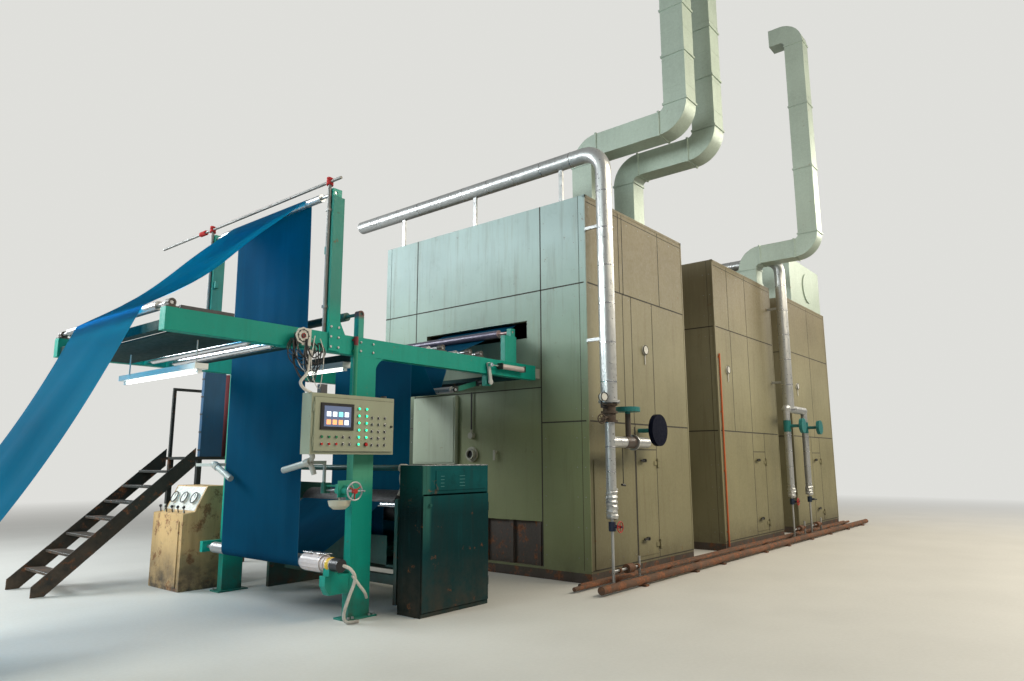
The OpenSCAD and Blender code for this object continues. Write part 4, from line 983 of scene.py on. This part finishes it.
# Motor: yellow collar, dark tail, mounting plate and cooling fins
k = Kit("motor_collar", "white_paint", YELLOW)
k.ring((MX, -1.19, MZ), (0, 1, 0), 0.062, 0.006, 36)
k.cyl((MX, -1.215, MZ), (MX, -1.165, MZ), 0.0635, 40)
k.done()
k = Kit("motor_tail", "black_parts")
k.cyl((MX, -1.342, MZ), (MX, -1.225, MZ), 0.0612, 40)
k.done()
k = Kit("motor_plate", "bright_steel")
k.box(MX - 0.05, MX + 0.03, -1.16, -0.80, MZ + 0.0922, MZ + 0.098)
k.done()
FIN_R = 0.083
k = Kit("motor_fins", "grey_motor", SPECIAL["drive_motor"])
for c, s in around(16):
    x, z = MX + FIN_R * c, MZ + FIN_R * s
    k.cyl((x, -1.07, z), (x, -0.81, z), 0.0035, 6)
k.done()

# Round encoder in the tangle under the beam
EX, EZ = -5.195, 2.65
ENCODER_R = 0.056
k = Kit("encoder_plate", "white_paint", WRAP)
k.cyl((EX, -1.321, EZ), (EX, -1.330, EZ), 0.082, 8)
k.box(EX - 0.01, EX + 0.085, -1.328, -1.321, EZ - 0.09, EZ + 0.075)
k.done()
k = Kit("encoder_ring", "black_parts")
k.ring((EX, -1.331, EZ), (0, 1, 0), ENCODER_R, 0.004, 30, 6)
k.cyl((EX, -1.329, EZ), (EX, -1.338, EZ), 0.024, 24)
for c, s in around(8):
    x, z = EX + ENCODER_R * c, EZ + ENCODER_R * s
    k.cyl((x, -1.329, z), (x, -1.337, z), 0.008, 8)
k.done()
k = Kit("encoder_centre", "red_plastic", RAG_RED)
k.ring((EX, -1.338, EZ), (0, 1, 0), 0.019, 0.003, 24, 6)
k.done()

# Rags and wraps
TOP_X = -4.869
k = Kit("red_rag", "cloth", RAG_RED)
for s in (-1, 1):
    for j in range(6):
        lean = (rng.uniform(-0.3, 0.3), rng.uniform(-0.3, 0.3), 1)
        k.ring((TOP_X, s * 1.18, 4.27 + 0.012 * j), lean, 0.026, 0.010, 18, 8)
for j in range(7):
    k.ring((TOP_X, 1.35 + 0.02 * j, 4.30), (0, 1, rng.uniform(-0.3, 0.3)), 0.022, 0.009, 16, 8)
k.done(True)
BX, BZ = -3.93, 1.424
k = Kit("bar_wrap", "white_paint", WRAP)
for j in range(7):
    lean = (rng.uniform(-0.2, 0.2), 1, rng.uniform(-0.2, 0.2))
    k.ring((BX, -1.38 + 0.014 * j, BZ), lean, 0.033, 0.008, 20, 8)
k.tube([(BX - 0.02, -1.34, BZ - 0.01), (BX - 0.03, -1.33, BZ - 0.10), (BX, -1.31, BZ - 0.20),
        (BX - 0.02, -1.29, BZ - 0.28)], 0.016, 8, 5)
k.tube([(BX + 0.01, -1.36, BZ - 0.02), (BX + 0.01, -1.345, BZ - 0.09),
        (BX + 0.02, -1.33, BZ - 0.15)], 0.012, 8, 5)
k.done(True)
GX, GZ = axis("guider_wheel")
ARM_X = GX - 0.27
k = Kit("guide_wraps", "white_paint", WRAP)
for j in range(6):
    k.ring((ARM_X, -1.045 + 0.012 * j, 1.489 - 0.002 * j), (0, 1, -0.25), 0.034, 0.008, 20, 8)
    k.ring((ARM_X, 0.76 - 0.012 * j, 1.457 - 0.005 * j), (0, 1, 0.4), 0.034, 0.008, 20, 8)
k.done(True)
k = Kit("guide_rag", "white_paint", WRAP)
for side, tip in ((-1, 0.10), (1, -0.12)):
    k.tube([(ARM_X, -1.02, 1.49), (GX - 0.25, -1.05, 1.49 + tip * 0.5),
            (GX - 0.26 + side * 0.03, -1.06, 1.49 + tip)], 0.026, 10, 5)
k.done(True)

# Hub and spokes of the guider's hand wheel
SPOKE_R = 0.080
SPOKE_Y = -1.396
k = Kit("wheel_hub", "wheel_red", body="guider_wheel")
k.cyl((GX, -1.4125, GZ), (GX, -1.379, GZ), 0.0245, 28)
for i in range(3):
    a = math.radians(90 + 120 * i)
    k.cyl((GX, SPOKE_Y, GZ), (GX + SPOKE_R * math.cos(a), SPOKE_Y, GZ - SPOKE_R * math.sin(a)),
          0.0064, 10)
k.done()

# Sloping face of the console: dials, their plate and the knobs below
OUTWARD = Vector((-0.906, 0, 0.423))
UPWARD = Vector((0.423, 0, 0.906))
k = Kit("console_dials", "black_parts")
for y in (1.60, 1.85, 2.10):
    c = Vector((-4.6302, y, 1.0501)) + OUTWARD * 0.0325
    k.ring(c, OUTWARD, 0.066, 0.007)
    k.cyl(c, c + UPWARD * 0.045 + OUTWARD * 0.002, 0.003, 6)
k.done()
k = Kit("console_plate", "dial_white")
middle = Vector((-4.630, 1.85, 1.05)) + OUTWARD * 0.0012
turn = Matrix(((UPWARD.x, 0, OUTWARD.x, middle.x), (UPWARD.y, 1, OUTWARD.y, middle.y),
               (UPWARD.z, 0, OUTWARD.z, middle.z), (0, 0, 0, 1)))
bmesh.ops.create_cube(k.bm, size=1.0, matrix=turn @ Matrix.Diagonal((0.30, 0.70, 0.002, 1)))
k.done()
k = Kit("console_knobs", "black_parts")
for y in (1.55, 1.70, 1.85, 2.0, 2.15):
    k.cyl((-4.79, y, 0.886), (-4.80, y, 0.95), 0.007, 10)
    k.ball((-4.801, y, 0.957), 0.018)
k.done(True)

# Painted shade: a dark disc for the shadowed inside of the open flange beside the hatch
k = Kit("flange_hole", "base_steel", HOLE_SHADE)
k.cyl((-1.4565, 0.01, 1.586), (-1.4545, 0.01, 1.586), 0.052, 28)
k.done()

# Mangle cabinet: louvres and the pale edge of its lid
LOUVRE_Y = (-1.7335, -1.7308)
k = Kit("cabinet_slits", "cabinet_teal", LOUVRE)
for i in range(4):
    z = 1.235 + 0.034 * i
    for x0, x1 in ((-3.775, -3.725), (-3.50, -3.42)):
        k.box(x0, x1, *LOUVRE_Y, z, z + 0.007)
k.done()
k = Kit("cabinet_edges", "bright_steel")
k.box(-4.031, -3.049, -1.7265, -1.7245, 1.447, 1.4555)
k.done()

# Blue board and maroon roll on the platform, as covers over their solids
k = Kit("platform_blue", "stair_steel", BLUE_STEEL)
k.box(-4.203, -3.897, 2.437, 2.503, 1.561, 2.853)
k.done()
k = Kit("platform_roll", "cloth", MAROON)
k.post(-3.70, 2.56, 1.561, 2.702, 0.153, 40)
k.done(True)

# Lit lamp tubes, worn tread edges, the dark disc, and rust on the steam traps
k = Kit("tubes_lit", "lamp_white", TUBE)
for x, y0, y1, z in ((-5.98, -0.93, 0.49, 2.272), (-4.17, -0.585, 0.585, 2.492)):
    k.cyl((x, y0, z), (x, y1, z), 0.0155, 20)
k.done(True)
k = Kit("tread_edges", "bright_steel")
for i in range(7):
    x = -5.77 + 0.206 * i - 0.095
    z = 0.240 + 0.19 * i
    k.box(x - 0.001, x + 0.012, 2.45, 3.24, z - 0.004, z + 0.0015)
k.done()
k = Kit("disc_blue", "valve_teal", NAVY)
k.cyl((-0.15, -2.3115, 1.90), (-0.15, -2.2480, 1.90), 0.2165, 48)
k.done()
TRAP_Z = 0.18
k = Kit("trap_rust", "rusty_pipe")
for x in (DROP_X, *PAIR_X):
    for x0, x1, r, seg in ((0.299, 0.441, 0.0565, 28), (0.56, 0.60, 0.03, 20),
                           (0.12, 0.16, 0.03, 20)):
        k.cyl((x + x0, PIPE_Y, TRAP_Z), (x + x1, PIPE_Y, TRAP_Z), r, seg)
k.done()

# Flanges round the ducts' uprights: middle x, middle y, lower and upper end
FLANGES = 5
k = Kit("duct_angles", "galvanised")
for x, y, z0, z1 in ((0.035, -2.73, 6.63, 8.90), (0.735, -2.84, 6.44, 8.90),
                     (4.99, -3.01, 5.85, 9.86)):
    for i in range(FLANGES):
        z = z0 + (z1 - z0) * (i + 0.5) / FLANGES
        k.box(x - 0.162, x + 0.162, y - 0.182, y + 0.182, z - 0.004, z + 0.004)
k.done()

# Stage: a pale floor that fades into the backdrop for the camera alone
PALE = (0.74, 0.74, 0.71, 1)
FADE_FROM, FADE_TO = 9.0, 24.0
floor_mat = surface("floor_paint", base=(0.58, 0.575, 0.55), var=0.04, streak=0.0, dirt=0.0,
                    bump=0.05, bevel=0.0, fine=40.0)
nt = floor_mat.node_tree
far = nt.nodes.new("ShaderNodeVectorMath")
far.operation = "LENGTH"
nt.links.new(nt.nodes.new("ShaderNodeTexCoord").outputs["Object"], far.inputs[0])
ray = nt.nodes.new("ShaderNodeLightPath")
away = nt.nodes.new("ShaderNodeEmission")
away.inputs["Color"].default_value = PALE
faded = times(nt, ramp(nt, far.outputs["Value"], FADE_FROM, FADE_TO),
              ray.outputs["Is Camera Ray"])
nt.links.new(mix_shaders(nt, faded, nt.nodes["Principled BSDF"].outputs[0], away.outputs[0]),
             nt.nodes["Material Output"].inputs["Surface"])
me = bpy.data.meshes.new("floor")
bm = bmesh.new()
add_box(bm, -60, 90, -60, 90, -0.05, 0.0)
bm.to_mesh(me)
bm.free()
floor = bpy.data.objects.new("floor", me)
bpy.context.collection.objects.link(floor)
me.materials.append(floor_mat)

# World: soft light on the machine, and the pale backdrop for the camera
scene = bpy.context.scene
scene.view_settings.view_transform = "Standard"
world = bpy.data.worlds.new("room")
scene.world = world
world.use_nodes = True
nt = world.node_tree
soft = nt.nodes["Background"]
soft.inputs["Color"].default_value = (0.62, 0.62, 0.60, 1)
soft.inputs["Strength"].default_value = 0.42
pale = nt.nodes.new("ShaderNodeBackground")
pale.inputs["Color"].default_value = PALE
pale.inputs["Strength"].default_value = 1.0
ray = nt.nodes.new("ShaderNodeLightPath")
seen = calc(nt, "MAXIMUM", ray.outputs["Is Camera Ray"], ray.outputs["Is Transmission Ray"])
nt.links.new(mix_shaders(nt, seen, soft.outputs[0], pale.outputs[0]),
             nt.nodes["World Output"].inputs["Surface"])


def area(name, loc, target, size, size_y, power, col):
    lamp = bpy.data.lights.new(name, "AREA")
    lamp.shape = "RECTANGLE"
    lamp.size, lamp.size_y = size, size_y
    lamp.energy = power
    lamp.color = col
    o = bpy.data.objects.new(name, lamp)
    o.location = loc
    o.rotation_euler = (Vector(target) - Vector(loc)).to_track_quat("-Z", "Y").to_euler()
    bpy.context.collection.objects.link(o)


area("window_far", (-9.0, 7.6, 6.2), (-3.0, 0.0, 2.2), 5.0, 3.0, 900, (0.93, 0.98, 1.0))
area("window_left", (-14.0, 1.0, 6.0), (-1.5, 0.0, 2.5), 5.0, 4.0, 750, (0.9, 1.0, 0.98))
area("roof_warm", (3.0, -11.0, 9.5), (3.5, -1.0, 2.0), 14.0, 4.0, 1500, (1.0, 0.90, 0.72))
area("roof_far", (14.0, -8.0, 9.0), (5.0, -1.0, 2.0), 6.0, 4.0, 700, (1.0, 0.93, 0.8))

# Camera, solved from the photo: focal length in pixels of its width, place and turns
FOCAL_PX = 704.558
PHOTO_PX = 1024.0
SENSOR = 36.0
EYE = (-8.944, -6.935, 1.5)
YAW, PITCH, ROLL = 0.881299176, 0.168262483, 0.00296387
lens = bpy.data.cameras.new("camera")
lens.sensor_width = SENSOR
lens.sensor_fit = "HORIZONTAL"
lens.lens = FOCAL_PX / PHOTO_PX * SENSOR
lens.clip_end = 200.0
lens.dof.use_dof = False
camera = bpy.data.objects.new("camera", lens)
ahead = Vector((math.sin(YAW) * math.cos(PITCH), math.cos(YAW) * math.cos(PITCH),
                math.sin(PITCH)))
rot = ahead.to_track_quat("-Z", "Y").to_matrix().to_4x4()
camera.matrix_world = Matrix.Translation(EYE) @ rot @ Matrix.Rotation(-ROLL, 4, "Z")
bpy.context.collection.objects.link(camera)
scene.camera = camera
